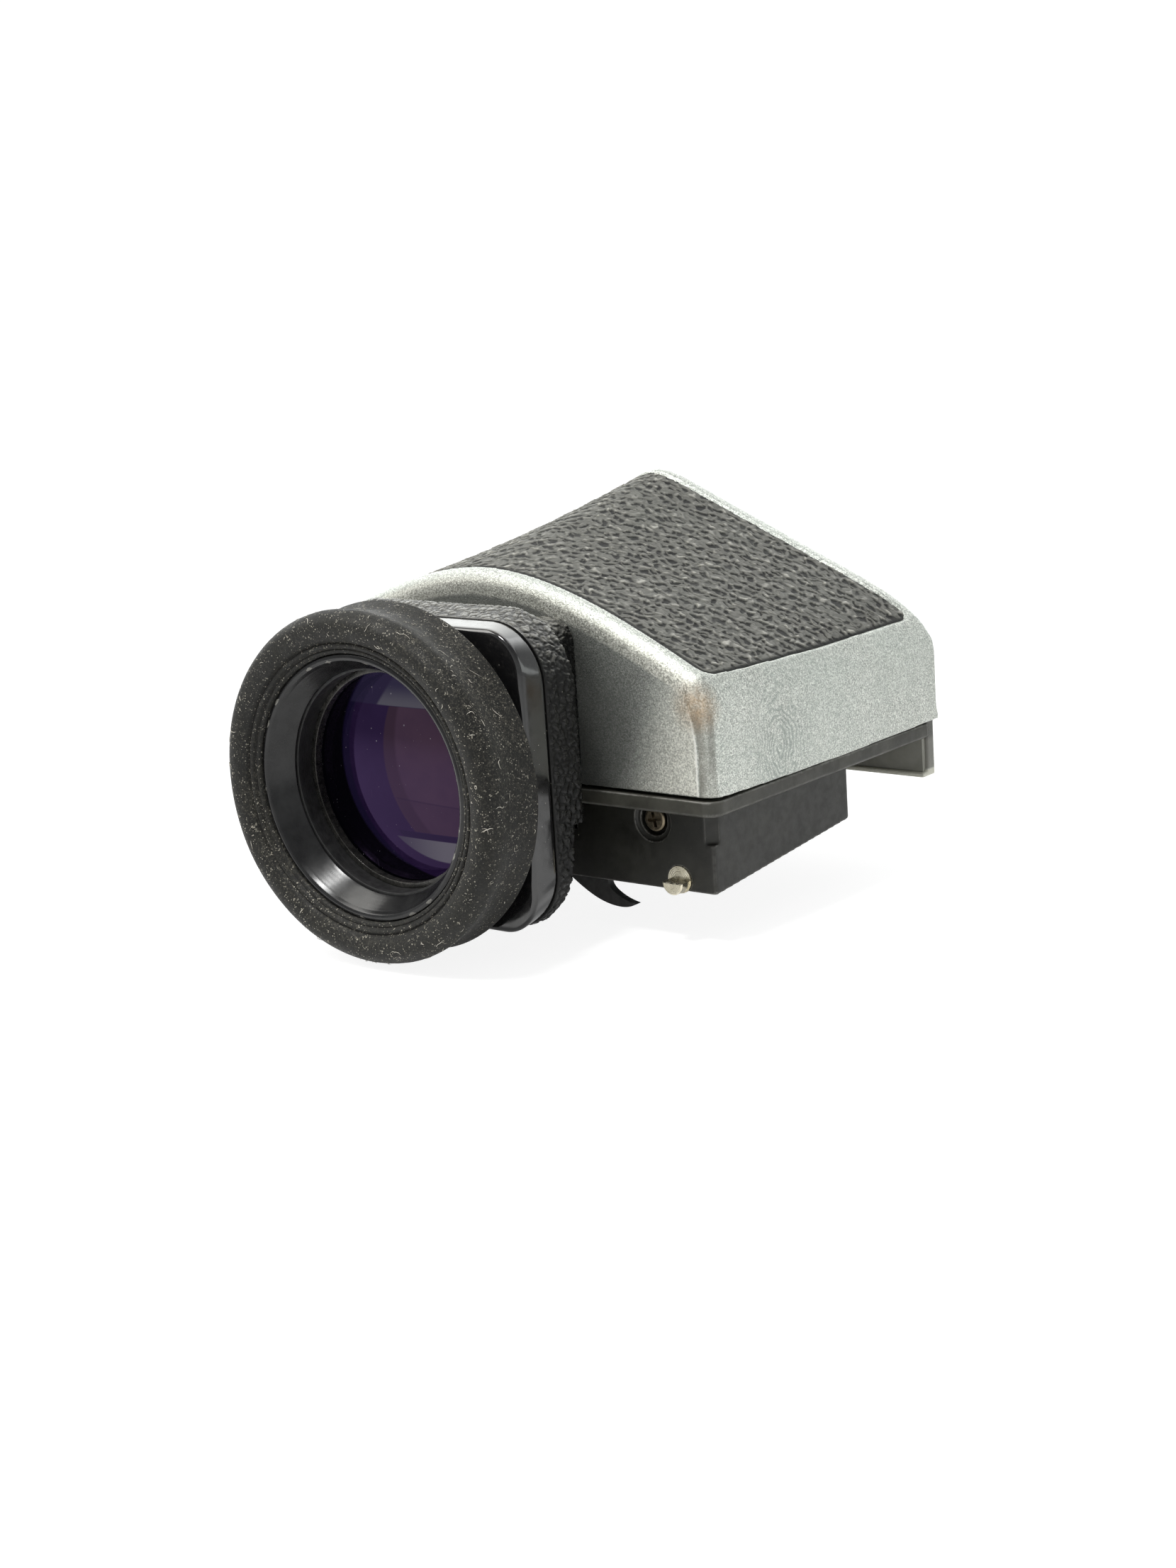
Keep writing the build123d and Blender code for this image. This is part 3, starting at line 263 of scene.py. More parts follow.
def ring_solid(name, points, rows, columns):
    """Closed loops joined one to the next and the last to the first, faces outwards."""
    ob = build(name, points, grid_quads(rows, columns, True, True))
    bm = bmesh.new()
    bm.from_mesh(ob.data)
    bmesh.ops.recalc_face_normals(bm, faces=bm.faces)
    bm.to_mesh(ob.data)
    bm.free()
    return ob


def lathe(name, profile, segments=256, shape=None):
    """Turns a closed list of (radius, y) about the eyepiece axis; shape() may move points."""
    profile = np.asarray(profile, float)
    angle = np.linspace(0, 2 * np.pi, segments, endpoint=False)
    radius = profile[:, 0][:, None]
    y = np.broadcast_to(profile[:, 1][:, None], (len(profile), segments))
    points = np.stack([radius * np.cos(angle), y, AXIS_Z + radius * np.sin(angle)], -1)
    points = points.reshape(-1, 3)
    if shape is not None:
        points = shape(points)
    return ring_solid(name, points, len(profile), segments)


def mesh_arrays(mesh):
    """Points in millimetres, edges and vertex normals."""
    points = np.zeros(len(mesh.vertices) * 3, np.float32)
    mesh.vertices.foreach_get("co", points)
    edges = np.zeros(len(mesh.edges) * 2, np.int32)
    mesh.edges.foreach_get("vertices", edges)
    normals = np.zeros(len(mesh.vertices) * 3, np.float32)
    mesh.vertices.foreach_get("normal", normals)
    return (points.reshape(-1, 3).astype(float) * 1000, edges.reshape(-1, 2),
            normals.reshape(-1, 3).astype(float))


def relax(points, edges, weight, rounds=1):
    """Laplacian rounds; weight is one number or one per point."""
    n = len(points)
    start, end = edges[:, 0], edges[:, 1]
    degree = np.maximum(np.bincount(start, minlength=n) + np.bincount(end, minlength=n), 1)
    weight = np.broadcast_to(weight, n)[:, None]
    for _ in range(rounds):
        total = np.stack([np.bincount(start, points[end, k], n)
                          + np.bincount(end, points[start, k], n) for k in range(3)], -1)
        points = points + weight * (total / degree[:, None] - points)
    return points


def soft_copy(node, name, voxel, rounds=3, shape=None, melt=None, melt_rounds=0):
    """A finer skin over a CAD node, its edges softly broken.

    melt(points) weights extra smoothing; shape(points, normals) works the surface.
    """
    source = add_object(name + "_tmp", NODES[node].data.copy())
    source.modifiers.new("w", "WELD").merge_threshold = 1e-6
    remesh = source.modifiers.new("r", "REMESH")
    remesh.mode = "VOXEL"
    remesh.voxel_size = voxel * MM
    depsgraph = bpy.context.evaluated_depsgraph_get()
    mesh = bpy.data.meshes.new_from_object(source.evaluated_get(depsgraph))
    bpy.data.objects.remove(source)
    mesh.name = name
    points, edges, _ = mesh_arrays(mesh)
    points = relax(points, edges, 0.5)
    # alternate shrinking and swelling rounds keep the volume
    for _ in range(rounds):
        points = relax(points, edges, 0.55)
        points = relax(points, edges, -0.5)
    if melt is not None:
        points = relax(points, edges, melt(points), melt_rounds)
    attributes = {}
    if shape is not None:
        write_points(mesh, points)
        mesh.update()
        points, attributes = shape(points, mesh_arrays(mesh)[2])
    write_points(mesh, points)
    mesh.update()
    shade_smooth(mesh)
    write_attributes(mesh, attributes)
    mesh.materials.clear()
    return add_object(name, mesh)


# ---------------------------------------------------------------------------
# Shader helpers
# ---------------------------------------------------------------------------
class Value:
    """An output socket; arithmetic on it adds math nodes to its graph."""

    def __init__(self, graph, socket):
        self.graph = graph
        self.socket = socket

    def __add__(self, other):
        return self.graph.math("ADD", self, other)

    def __radd__(self, other):
        return self.graph.math("ADD", other, self)

    def __sub__(self, other):
        return self.graph.math("SUBTRACT", self, other)

    def __rsub__(self, other):
        return self.graph.math("SUBTRACT", other, self)

    def __mul__(self, other):
        return self.graph.math("MULTIPLY", self, other)

    def __abs__(self):
        return self.graph.math("ABSOLUTE", self)

    def sine(self):
        return self.graph.math("SINE", self)

    def larger(self, other):
        return self.graph.math("MAXIMUM", self, other)

    def length(self):
        return self.graph.vector_math("LENGTH", self)

    def fade(self, over=(0.3, 0.7), to=(0.0, 1.0)):
        """Smooth step between the two `to` values; the default `over` is a noise's spread."""
        return self.graph.add("MapRange", {
            "Value": self, "From Min": over[0], "From Max": over[1],
            "To Min": to[0], "To Max": to[1]}, interpolation_type="SMOOTHSTEP")


def rgba(colour):
    return tuple(colour) + (1,)


class Graph:
    """A node tree being filled."""

    def __init__(self, tree, output):
        self.tree = tree
        tree.nodes.clear()
        self.output = self.node(output)

    def put(self, socket, value):
        if isinstance(value, Value):
            self.tree.links.new(value.socket, socket)
        else:
            socket.default_value = rgba(value) if socket.type == "RGBA" else value

    def node(self, kind, inputs=None, **settings):
        node = self.tree.nodes.new("ShaderNode" + kind)
        for name, setting in settings.items():
            setattr(node, name, setting)
        for key, value in (inputs or {}).items():
            self.put(node.inputs[key], value)
        return node

    def add(self, kind, inputs=None, out=0, **settings):
        return Value(self, self.node(kind, inputs, **settings).outputs[out])

    def show(self, shader):
        self.put(self.output.inputs["Surface"], shader)

    def math(self, operation, *values, clamp=False):
        return self.add("Math", dict(enumerate(values)), operation=operation, use_clamp=clamp)

    def vector_math(self, operation, *values):
        out = "Value" if operation in ("LENGTH", "DOT_PRODUCT") else "Vector"
        return self.add("VectorMath", dict(enumerate(values)), out, operation=operation)

    def split(self, vector, kind="XYZ"):
        parts = self.node("Separate" + kind, {0: vector})
        return [Value(self, socket) for socket in parts.outputs]

    def rays(self):
        """Whether the ray comes from the camera, and whether from a reflection."""
        path = self.node("LightPath")
        return [Value(self, path.outputs[name]) for name in ("Is Camera Ray", "Is Glossy Ray")]

    def mix_shader(self, a, b, amount):
        return self.add("MixShader", {0: amount, 1: a, 2: b})


PRINCIPLED_INPUTS = {
    "colour": "Base Color", "rough": "Roughness", "metallic": "Metallic", "normal": "Normal",
    "ior": "IOR", "coat": "Coat Weight", "coat_rough": "Coat Roughness",
    "sheen": "Sheen Weight", "specular": "Specular IOR Level",
    "transmission": "Transmission Weight",
}


class Material(Graph):
    """A node material whose coordinates, and so its sizes and places, are millimetres."""

    def __init__(self, name):
        self.material = bpy.data.materials.new(name)
        self.material.use_nodes = True
        super().__init__(self.material.node_tree, "OutputMaterial")
        self.place = self.add("VectorMath", {
            0: self.add("TexCoord", out="Object"), "Scale": 1000.0}, operation="SCALE")

    def xyz(self):
        return self.split(self.place)

    def normal_xyz(self):
        return self.split(self.add("NewGeometry", out="Normal"))

    def pointiness(self):
        return self.add("NewGeometry", out="Pointiness")

    def attribute(self, name):
        return self.add("Attribute", out="Fac", attribute_name=name)

    def radius(self, a, b):
        return self.math("SQRT", a * a + b * b)

    def offset(self, centre, weights):
        """Vector from centre, each axis weighted."""
        return self.vector_math(
            "MULTIPLY", self.vector_math("SUBTRACT", self.place, centre), weights)

    def noise(self, scale, detail=3.0, rough=0.55, distortion=0.0, at=None):
        return self.add("TexNoise", {
            "Scale": scale, "Detail": detail, "Roughness": rough, "Distortion": distortion,
            "Vector": at or self.place}, out="Fac")

    def cells(self, scale, out="Distance"):
        return self.add("TexVoronoi", {"Scale": scale, "Vector": self.place}, out=out)

    def specks(self, scale, patch_scale, over, size):
        """1 on round dots, one to a cell, up to `size` in radius and gathered in patches."""
        patches = self.noise(scale=patch_scale, detail=2.0).fade(over=over)
        return self.math("LESS_THAN", self.cells(scale=scale), patches * size)

    def ramp(self, value, stops):
        """stops: (position, colour)."""
        node = self.node("ValToRGB", {"Fac": value})
        elements = node.color_ramp.elements
        elements.remove(elements[-1])
        elements[0].position = stops[0][0]
        elements[0].color = rgba(stops[0][1])
        for position, colour in stops[1:]:
            elements.new(position).color = rgba(colour)
        return Value(self, node.outputs["Color"])

    def mix(self, a, b, amount):
        return self.add("Mix", {0: amount, 6: a, 7: b}, out=2, data_type="RGBA",
                        blend_type="MIX")

    def mottle(self, a, b, **noise):
        """Two colours clouded together."""
        return self.mix(a, b, amount=self.noise(**noise).fade())

    def bump(self, height, strength, depth, over=None):
        """depth in millimetres; `over` is a normal to bump further."""
        inputs = {"Strength": strength, "Distance": depth * MM, "Height": height}
        if over is not None:
            inputs["Normal"] = over
        return self.add("Bump", inputs, out="Normal")

    def principled(self, **look):
        return self.add("BsdfPrincipled",
                        {PRINCIPLED_INPUTS[key]: value for key, value in look.items()})

    def surface(self, **look):
        self.show(self.principled(**look))
        return self.material


# ---------------------------------------------------------------------------
# Silver paint of the shell
# ---------------------------------------------------------------------------
def paint_back_shade_and_light(m, base, fine, x, y, z):
    """Painted shade beside the eyepiece neck, and painted light further out on the back face."""
    back = y.fade(over=(-15.6, -16.5))
    # painted shade where the hood shades the back face, darkest beside the eyepiece neck
    hood_shade = back * (abs(x) + z * 0.35).fade(over=(34.5, 20.0))
    base = m.mix(base, (0.10, 0.102, 0.094), amount=hood_shade * 0.66)
    # painted shade: the flat back face darker towards the eyepiece
    flat_back = back * m.normal_xyz()[1].fade(over=(-0.90, -0.98))
    slope = abs(x) - z * 0.42   # lines of equal shade lean inwards as they fall
    base = m.mix(base, m.mix(base, (0.10, 0.102, 0.095), amount=0.5),
                 amount=flat_back * slope.fade(over=(27.0, 17.0)))
    # painted light: the outer part of the back face made paler
    pale = m.mix((0.52, 0.515, 0.45), (1.0, 0.995, 0.90), amount=fine.fade(over=(0.38, 0.62)))
    outer = flat_back * abs(x).fade(over=(33.9, 33.6)) * slope.fade(over=(19.0, 29.0))
    base = m.mix(base, pale, amount=outer * 0.72)
    # painted highlight over the back fillet, a cream band below the roof line
    below = m.attribute("below") + (m.noise(scale=0.7, detail=3.0, rough=0.6) - 0.5) * 0.5
    arch = below.fade(over=(3.45, 2.95)) * below.fade(over=(0.5, 1.6))
    arch = arch * abs(x).fade(over=(34.0, 32.4))
    arch_highlight = m.mix((0.36, 0.355, 0.305), (0.95, 0.945, 0.865),
                  amount=fine.fade(over=(0.38, 0.62)))
    return m.mix(base, arch_highlight, amount=arch * slope.fade(over=(6.0, 24.0), to=(0.45, 0.75)))


def paint_corner_shade_and_patina(m, base, fine, x, y, z):
    """Back corners: painted shade in a dark band between a painted dark line and a painted
    highlight line, and brown patina.
    """
    side = abs(x + (m.noise(scale=0.8, detail=2.0) - 0.5) * 0.25)
    low = z.fade(over=(14.0, 12.6))
    band_x = 33.75 + z.fade(over=(8.0, 15.0)) * -0.9
    # painted shade: a dark band down each rounded back corner
    band = side.fade(over=(band_x, band_x + 0.35)) * y.fade(over=(-15.3, -15.7)) * low
    streak = m.noise(scale=0.9, detail=3.0, rough=0.6).fade(to=(0.70, 1.0))
    base = m.mix(base, (0.185, 0.178, 0.150),
                 amount=band * streak * side.fade(over=(34.0, 35.4), to=(0.88, 0.45)))
    # painted shade: a dark line beside the band
    corner_shade_line = (y.fade(over=(-16.40, -16.05)) * y.fade(over=(-15.45, -15.80))
                 * (low * z.fade(over=(3.0, 8.0))))
    base = m.mix(base, (0.10, 0.098, 0.085),
                 amount=corner_shade_line * side.fade(over=(35.0, 35.4)) * 0.45)
    # painted highlight: a bright line along the corner
    corner_highlight = (side.fade(over=(band_x - 0.40, band_x - 0.15))
                   * side.fade(over=(band_x + 0.10, band_x - 0.10))
                   * (low * y.fade(over=(-16.2, -16.4))))
    base = m.mix(base, (0.97, 0.975, 0.92), amount=corner_highlight * 0.80)
    # patina on the +x top corner
    away = m.offset(centre=(33.7, -16.3, 13.7), weights=(0.62, 0.8, 0.62)).length()
    patina = (away.fade(over=(0.3, 2.6), to=(1.0, 0.0))
              * m.noise(scale=1.6, detail=4.0, rough=0.6).fade(over=(0.3, 0.65), to=(0.6, 1.0)))
    brown = m.mix((0.27, 0.180, 0.095), (0.52, 0.375, 0.235),
                  amount=fine.fade(over=(0.35, 0.65)))
    return m.mix(base, brown, amount=patina * 0.74)


def finger_marks(m, base, x):
    """Faint ridged marks on the side walls; returns the colour and where they are."""
    ridge_rate = 10.5   # radians per millimetre
    warp = 2.6          # millimetres
    offset = m.offset(centre=(37.0, -3.2, 6.5), weights=(0.0, 1.0, 0.55))
    ridges = ((offset.length() + m.noise(scale=0.32, detail=2.0) * warp) * ridge_rate).sine()
    mark = (offset.length().fade(over=(1.0, 8.0), to=(1.0, 0.0))
            * abs(x).fade(over=(35.0, 36.0)))
    mark = mark * m.noise(scale=0.35, detail=2.0).fade(over=(0.33, 0.52), to=(0.18, 1.0))
    base = m.mix(base, (0.24, 0.27, 0.25), amount=mark * ridges.fade(over=(-0.3, 0.7)) * 0.66)
    return base, mark


def paint_ledge_light_and_grey_ends(m, base, y, z):
    """Ledge under the front skirt paled with painted light, and the skirt ends coloured grey,
    darker at the top; also where they are.
    """
    # painted light on the ledge, which sits in shade under the skirt
    ledge = z.fade(over=(-4.2, -4.6))
    base = m.mix(base, (0.60, 0.585, 0.49), amount=ledge * 0.85)
    ends = (z.fade(over=(2.22, 2.05)) * (1.0 - ledge)
            * (y.fade(over=(20.0, 22.0)) * y.fade(over=(34.02, 33.85))))
    end_grey = m.mix((0.170, 0.168, 0.146), (0.150, 0.148, 0.128),
                   amount=z.fade(over=(-4.4, -0.5)))
    end_grey = m.mix(end_grey, (0.060, 0.059, 0.049), amount=z.fade(over=(-0.6, 0.3)))
    return m.mix(base, end_grey, amount=ends), ledge.larger(ends)


def silver_paint():
    m = Material("satin_silver_paint")
    x, y, z = m.xyz()
    flake_tone, flake_height, _ = m.split(m.cells(scale=7.5, out="Color"), kind="Color")
    fine = m.noise(scale=4.2, detail=3.0, rough=0.7)
    base = m.ramp(flake_tone * 0.50 + fine * 0.50, [
        (0.22, (0.25, 0.260, 0.240)), (0.5, (0.455, 0.473, 0.440)),
        (0.78, (0.78, 0.795, 0.74))])
    clouds = m.noise(scale=0.09, detail=4.0, rough=0.6)
    base = m.mix(base, (0.40, 0.455, 0.415), amount=clouds.fade(over=(0.35, 0.7), to=(0.0, 0.22)))
    base = paint_back_shade_and_light(m, base, fine, x, y, z)
    base = paint_corner_shade_and_patina(m, base, fine, x, y, z)
    base, mark = finger_marks(m, base, x)
    base, dull = paint_ledge_light_and_grey_ends(m, base, y, z)
    height = m.noise(scale=4.5, detail=3.0, rough=0.7) * 1.0 + flake_height * 0.45
    grain = m.bump(height, strength=0.95, depth=0.085)
    return m.surface(
        colour=base, rough=fine.fade(to=(0.37, 0.50)) + mark * 0.05,
        metallic=0.78 - dull * 0.76, coat=0.10, coat_rough=0.35,
        normal=m.bump(m.noise(scale=0.22, detail=2.0), strength=0.10, depth=0.35, over=grain))


# ---------------------------------------------------------------------------
# Mouldings, leatherette and rubber
# ---------------------------------------------------------------------------
def leather():
    m = Material("grained_leatherette")
    # painted shade and highlight: the grain's relief as colour, dark in its dips and at the rim,
    # light on its crests
    grain = m.attribute("cav")
    base = m.ramp(grain, [
        (0.0, (0.0015, 0.0015, 0.0013)), (0.2, (0.009, 0.0088, 0.0076)),
        (0.42, (0.062, 0.0615, 0.053)), (0.6, (0.094, 0.093, 0.080)),
        (0.8, (0.172, 0.168, 0.146)), (1.0, (0.31, 0.304, 0.264))])
    clouds = m.noise(scale=0.12).fade(over=(0.35, 0.7), to=(0.0, 0.12))
    base = m.mix(base, (0.110, 0.118, 0.104), amount=clouds)
    # painted highlight flecks on the crests
    crest_highlights = (m.noise(scale=5.5, detail=2.0).fade(over=(0.66, 0.74))
             * grain.fade(over=(0.5, 0.8)))
    base = m.mix(base, (0.34, 0.325, 0.29), amount=crest_highlights * 0.20)
    return m.surface(
        colour=base, rough=grain.fade(over=(0.2, 0.95), to=(0.72, 0.42)), specular=0.55,
        normal=m.bump(m.noise(scale=7.0, rough=0.65), strength=0.30, depth=0.03))


def rubber():
    m = Material("dusty_rubber")
    normal_x, _, normal_z = m.normal_xyz()
    blotch = m.noise(scale=0.30, detail=5.0, rough=0.62, distortion=0.6)
    base = m.ramp(blotch, [
        (0.25, (0.0018, 0.0018, 0.0015)), (0.5, (0.0042, 0.0041, 0.0034)),
        (0.75, (0.0125, 0.0122, 0.0100))])
    # dust everywhere, lifted further with painted light where the rubber faces up and +x
    film = (m.noise(scale=2.3, detail=6.0, rough=0.75).fade(over=(0.47, 0.68))
            * m.noise(scale=0.25).fade(over=(0.30, 0.62), to=(0.30, 1.0)))
    painted_light_facing = normal_x.fade(over=(-0.35, 0.75)) * normal_z.fade(over=(-0.45, 0.75))
    grit = m.noise(scale=4.6, rough=0.7).fade(over=(0.48, 0.66))
    dust = film * (0.13 + painted_light_facing * 0.30) + grit * 0.12 * (0.4 + painted_light_facing)
    base = m.mix(base, (0.150, 0.140, 0.112), amount=dust)
    coarse = m.specks(scale=2.1, patch_scale=0.8, over=(0.33, 0.70), size=0.22)
    small = m.specks(scale=3.4, patch_scale=1.3, over=(0.36, 0.70), size=0.36)
    specks = coarse.larger(small)
    strength = m.noise(scale=2.0, detail=2.0).fade(over=(0.35, 0.65), to=(0.18, 0.70))
    base = m.mix(base, (0.40, 0.375, 0.31), amount=specks * strength)
    skin = m.bump(m.noise(scale=3.2, detail=6.0, rough=0.7) + specks * 0.5,
                  strength=0.45, depth=0.10)
    return m.surface(
        colour=base, rough=blotch.fade(to=(0.54, 0.72)), sheen=0.03, specular=0.24,
        normal=m.bump(m.noise(scale=0.5, detail=2.0), strength=0.12, depth=0.4, over=skin))


def black_plastic(name, dark, light, rough, wear):
    """wear: how pale the rubbed edges are."""
    m = Material(name)
    base = m.mottle(dark, light, scale=0.2, detail=4.0, rough=0.6)
    rubbed = (m.pointiness().fade(over=(0.508, 0.55))
              * m.noise(scale=0.7, detail=4.0, rough=0.65).fade(over=(0.36, 0.62), to=(0.25, 1.0)))
    base = m.mix(base, (0.20, 0.195, 0.18), amount=rubbed * wear)
    dust = m.noise(scale=2.8, detail=5.0, rough=0.7).fade(over=(0.58, 0.75))
    base = m.mix(base, (0.16, 0.155, 0.13), amount=dust * 0.10)
    height = m.noise(scale=5.0, detail=4.0, rough=0.7) + m.noise(scale=0.35, detail=2.0) * 0.6
    return m.surface(colour=base, rough=m.noise(scale=0.9).fade(to=rough), specular=0.32,
                     normal=m.bump(height, strength=0.22, depth=0.05))


def hood_moulding():
    m = Material("grained_hood")
    # painted shade: the grain's valleys darker than its cells
    grain = m.attribute("cav")
    base = m.ramp(grain, [
        (0.0, (0.0008, 0.0008, 0.0008)), (0.45, (0.0024, 0.0024, 0.0022)),
        (1.0, (0.0085, 0.0085, 0.0078))])
    normal_z = m.normal_xyz()[2]
    # painted light: up-facing faces paler, most on the grain's crests as painted highlight
    paler_on_top = normal_z.fade(over=(0.25, 0.85)) * grain.fade(over=(0.2, 0.9), to=(0.12, 0.60))
    base = m.mix(base, (0.20, 0.195, 0.170), amount=paler_on_top)
    specks = m.specks(scale=1.3, patch_scale=0.9, over=(0.5, 0.8), size=0.14)
    base = m.mix(base, (0.34, 0.32, 0.28), amount=specks * 0.7)
    return m.surface(
        colour=base, rough=grain.fade(over=(0.2, 0.9), to=(0.45, 0.26)),
        specular=normal_z.fade(over=(0.2, 0.8), to=(0.20, 0.75)),
        normal=m.bump(m.noise(scale=7.0, rough=0.6), strength=0.25, depth=0.04))


def gloss_black():
    m = Material("gloss_moulding")
    base = m.mottle((0.0045, 0.0045, 0.005), (0.0075, 0.0075, 0.008), scale=0.15)
    specks = m.specks(scale=1.1, patch_scale=0.8, over=(0.52, 0.8), size=0.12)
    film = m.noise(scale=1.7, detail=5.0, rough=0.7).fade(over=(0.5, 0.8), to=(0.0, 0.10))
    paler_on_top = m.normal_xyz()[2].fade(over=(0.74, 0.99)) * 0.40
    base = m.mix(base, (0.20, 0.19, 0.17), amount=(specks * 0.6).larger(film).larger(paler_on_top))
    rough = m.noise(scale=0.6, detail=4.0, rough=0.6).fade(over=(0.3, 0.75), to=(0.08, 0.18))
    return m.surface(
        colour=base, rough=rough, ior=1.52, specular=0.60,
        normal=m.bump(m.noise(scale=0.35, detail=2.0), strength=0.05, depth=0.3))


def foam():
    m = Material("open_cell_foam")
    pores = m.cells(scale=3.2)
    base = m.ramp(pores, [
        (0.0, (0.004, 0.004, 0.004)), (0.35, (0.015, 0.015, 0.015)),
        (0.8, (0.04, 0.04, 0.038))])
    return m.surface(colour=base, rough=0.95, normal=m.bump(pores, strength=0.8, depth=0.3))


def lint():
    m = Material("lint_fibre")
    return m.surface(
        colour=m.mottle((0.32, 0.30, 0.25), (0.60, 0.57, 0.50), scale=1.5),
        rough=0.8, sheen=0.2,
        normal=m.bump(m.noise(scale=20.0, detail=2.0), strength=0.2, depth=0.01))


# ---------------------------------------------------------------------------
# Metals; turning_rate is the radians of tool mark per millimetre
# ---------------------------------------------------------------------------
def anodised():
    m = Material("satin_black_anodised")
    turning_rate = 46.0
    x, y, z = m.xyz()
    turning = ((m.radius(x, z - AXIS_Z) + y * 0.7) * turning_rate).sine()
    base = m.mottle((0.006, 0.006, 0.0065), (0.014, 0.014, 0.0145), scale=0.4, detail=4.0)
    # painted highlight along the lip's sharp edges
    lip_highlight = m.pointiness().fade(over=(0.52, 0.56)) * y.fade(over=(-39.9, -40.3))
    base = m.mix(base, (0.30, 0.29, 0.26), amount=lip_highlight * 0.45)
    dust = m.noise(scale=3.0, detail=5.0, rough=0.7).fade(over=(0.62, 0.76))
    base = m.mix(base, (0.22, 0.21, 0.18), amount=dust * 0.07)
    normal = m.bump(turning + m.noise(scale=6.0, detail=2.0) * 0.8, strength=0.05, depth=0.012)
    # the turned taper scatters towards its mouth
    taper = y.fade(over=(-33.6, -34.2)) * y.fade(over=(-40.3, -39.9))
    push = m.add("CombineXYZ", {1: taper * -0.33})
    normal = m.vector_math("NORMALIZE", m.vector_math("ADD", normal, push))
    return m.surface(colour=base, rough=m.noise(scale=0.5).fade(to=(0.19, 0.25)),
                     normal=normal, specular=0.31, ior=1.46)


def matt_black():
    m = Material("matt_black_metal")
    turning_rate = 18.0
    y = m.xyz()[1]
    grooves = (y * turning_rate).sine()
    base = m.mottle((0.006, 0.006, 0.006), (0.0132, 0.0132, 0.0132), scale=0.7, detail=4.0)
    worn = m.pointiness().fade(over=(0.52, 0.58))
    base = m.mix(base, (0.12, 0.115, 0.105), amount=worn * 0.06)
    return m.surface(
        colour=base, rough=m.noise(scale=1.5).fade(to=(0.48, 0.68)), metallic=0.2,
        normal=m.bump(grooves + m.noise(scale=5.0), strength=0.10, depth=0.04))


def ring_metal():
    m = Material("retaining_ring_metal")
    turning_rate = 60.0
    x, _, z = m.xyz()
    turning = (m.radius(x, z - AXIS_Z) * turning_rate).sine()
    base = m.mottle((0.018, 0.018, 0.017), (0.05, 0.048, 0.044), scale=1.2, detail=4.0)
    worn = m.pointiness().fade(over=(0.51, 0.56))
    base = m.mix(base, (0.30, 0.285, 0.25), amount=worn * 0.10)
    return m.surface(
        colour=base, rough=m.noise(scale=2.0).fade(to=(0.22, 0.36)), metallic=0.6,
        normal=m.bump(turning, strength=0.03, depth=0.012))


def bare_metal(name, dark, light, rough, turned_about=None, turning_rate=None):
    """turned_about: |x| and z of the axis of the tool marks, if any."""
    m = Material(name)
    base = m.mottle(dark, light, scale=1.1, detail=5.0, rough=0.65)
    stain = m.noise(scale=0.55, detail=4.0, rough=0.7).fade(over=(0.56, 0.75))
    base = m.mix(base, tuple(c * 0.45 for c in dark), amount=stain * 0.35)
    height = m.noise(scale=6.0, detail=4.0, rough=0.7)
    if turned_about is not None:
        x, _, z = m.xyz()
        radius = m.radius(abs(x) - turned_about[0], z - turned_about[1])
        height = (radius * turning_rate).sine() * 0.8 + height
    return m.surface(
        colour=base, rough=m.noise(scale=2.4).fade(to=(rough - 0.06, rough + 0.1)),
        metallic=1.0, normal=m.bump(height, strength=0.12, depth=0.04))


# ---------------------------------------------------------------------------
# Glass
# ---------------------------------------------------------------------------
def clear_glass():
    m = Material("optical_glass")
    tint = (0.93, 0.97, 0.95)
    smear = m.noise(scale=0.5, detail=5.0, rough=0.6).fade(over=(0.35, 0.75), to=(0.015, 0.065))
    return m.surface(
        colour=m.mottle(tint, tuple(c * 0.97 for c in tint), scale=0.1, detail=2.0),
        rough=smear, ior=1.517, transmission=1.0,
        normal=m.bump(m.noise(scale=0.4, detail=2.0), strength=0.01, depth=0.05))


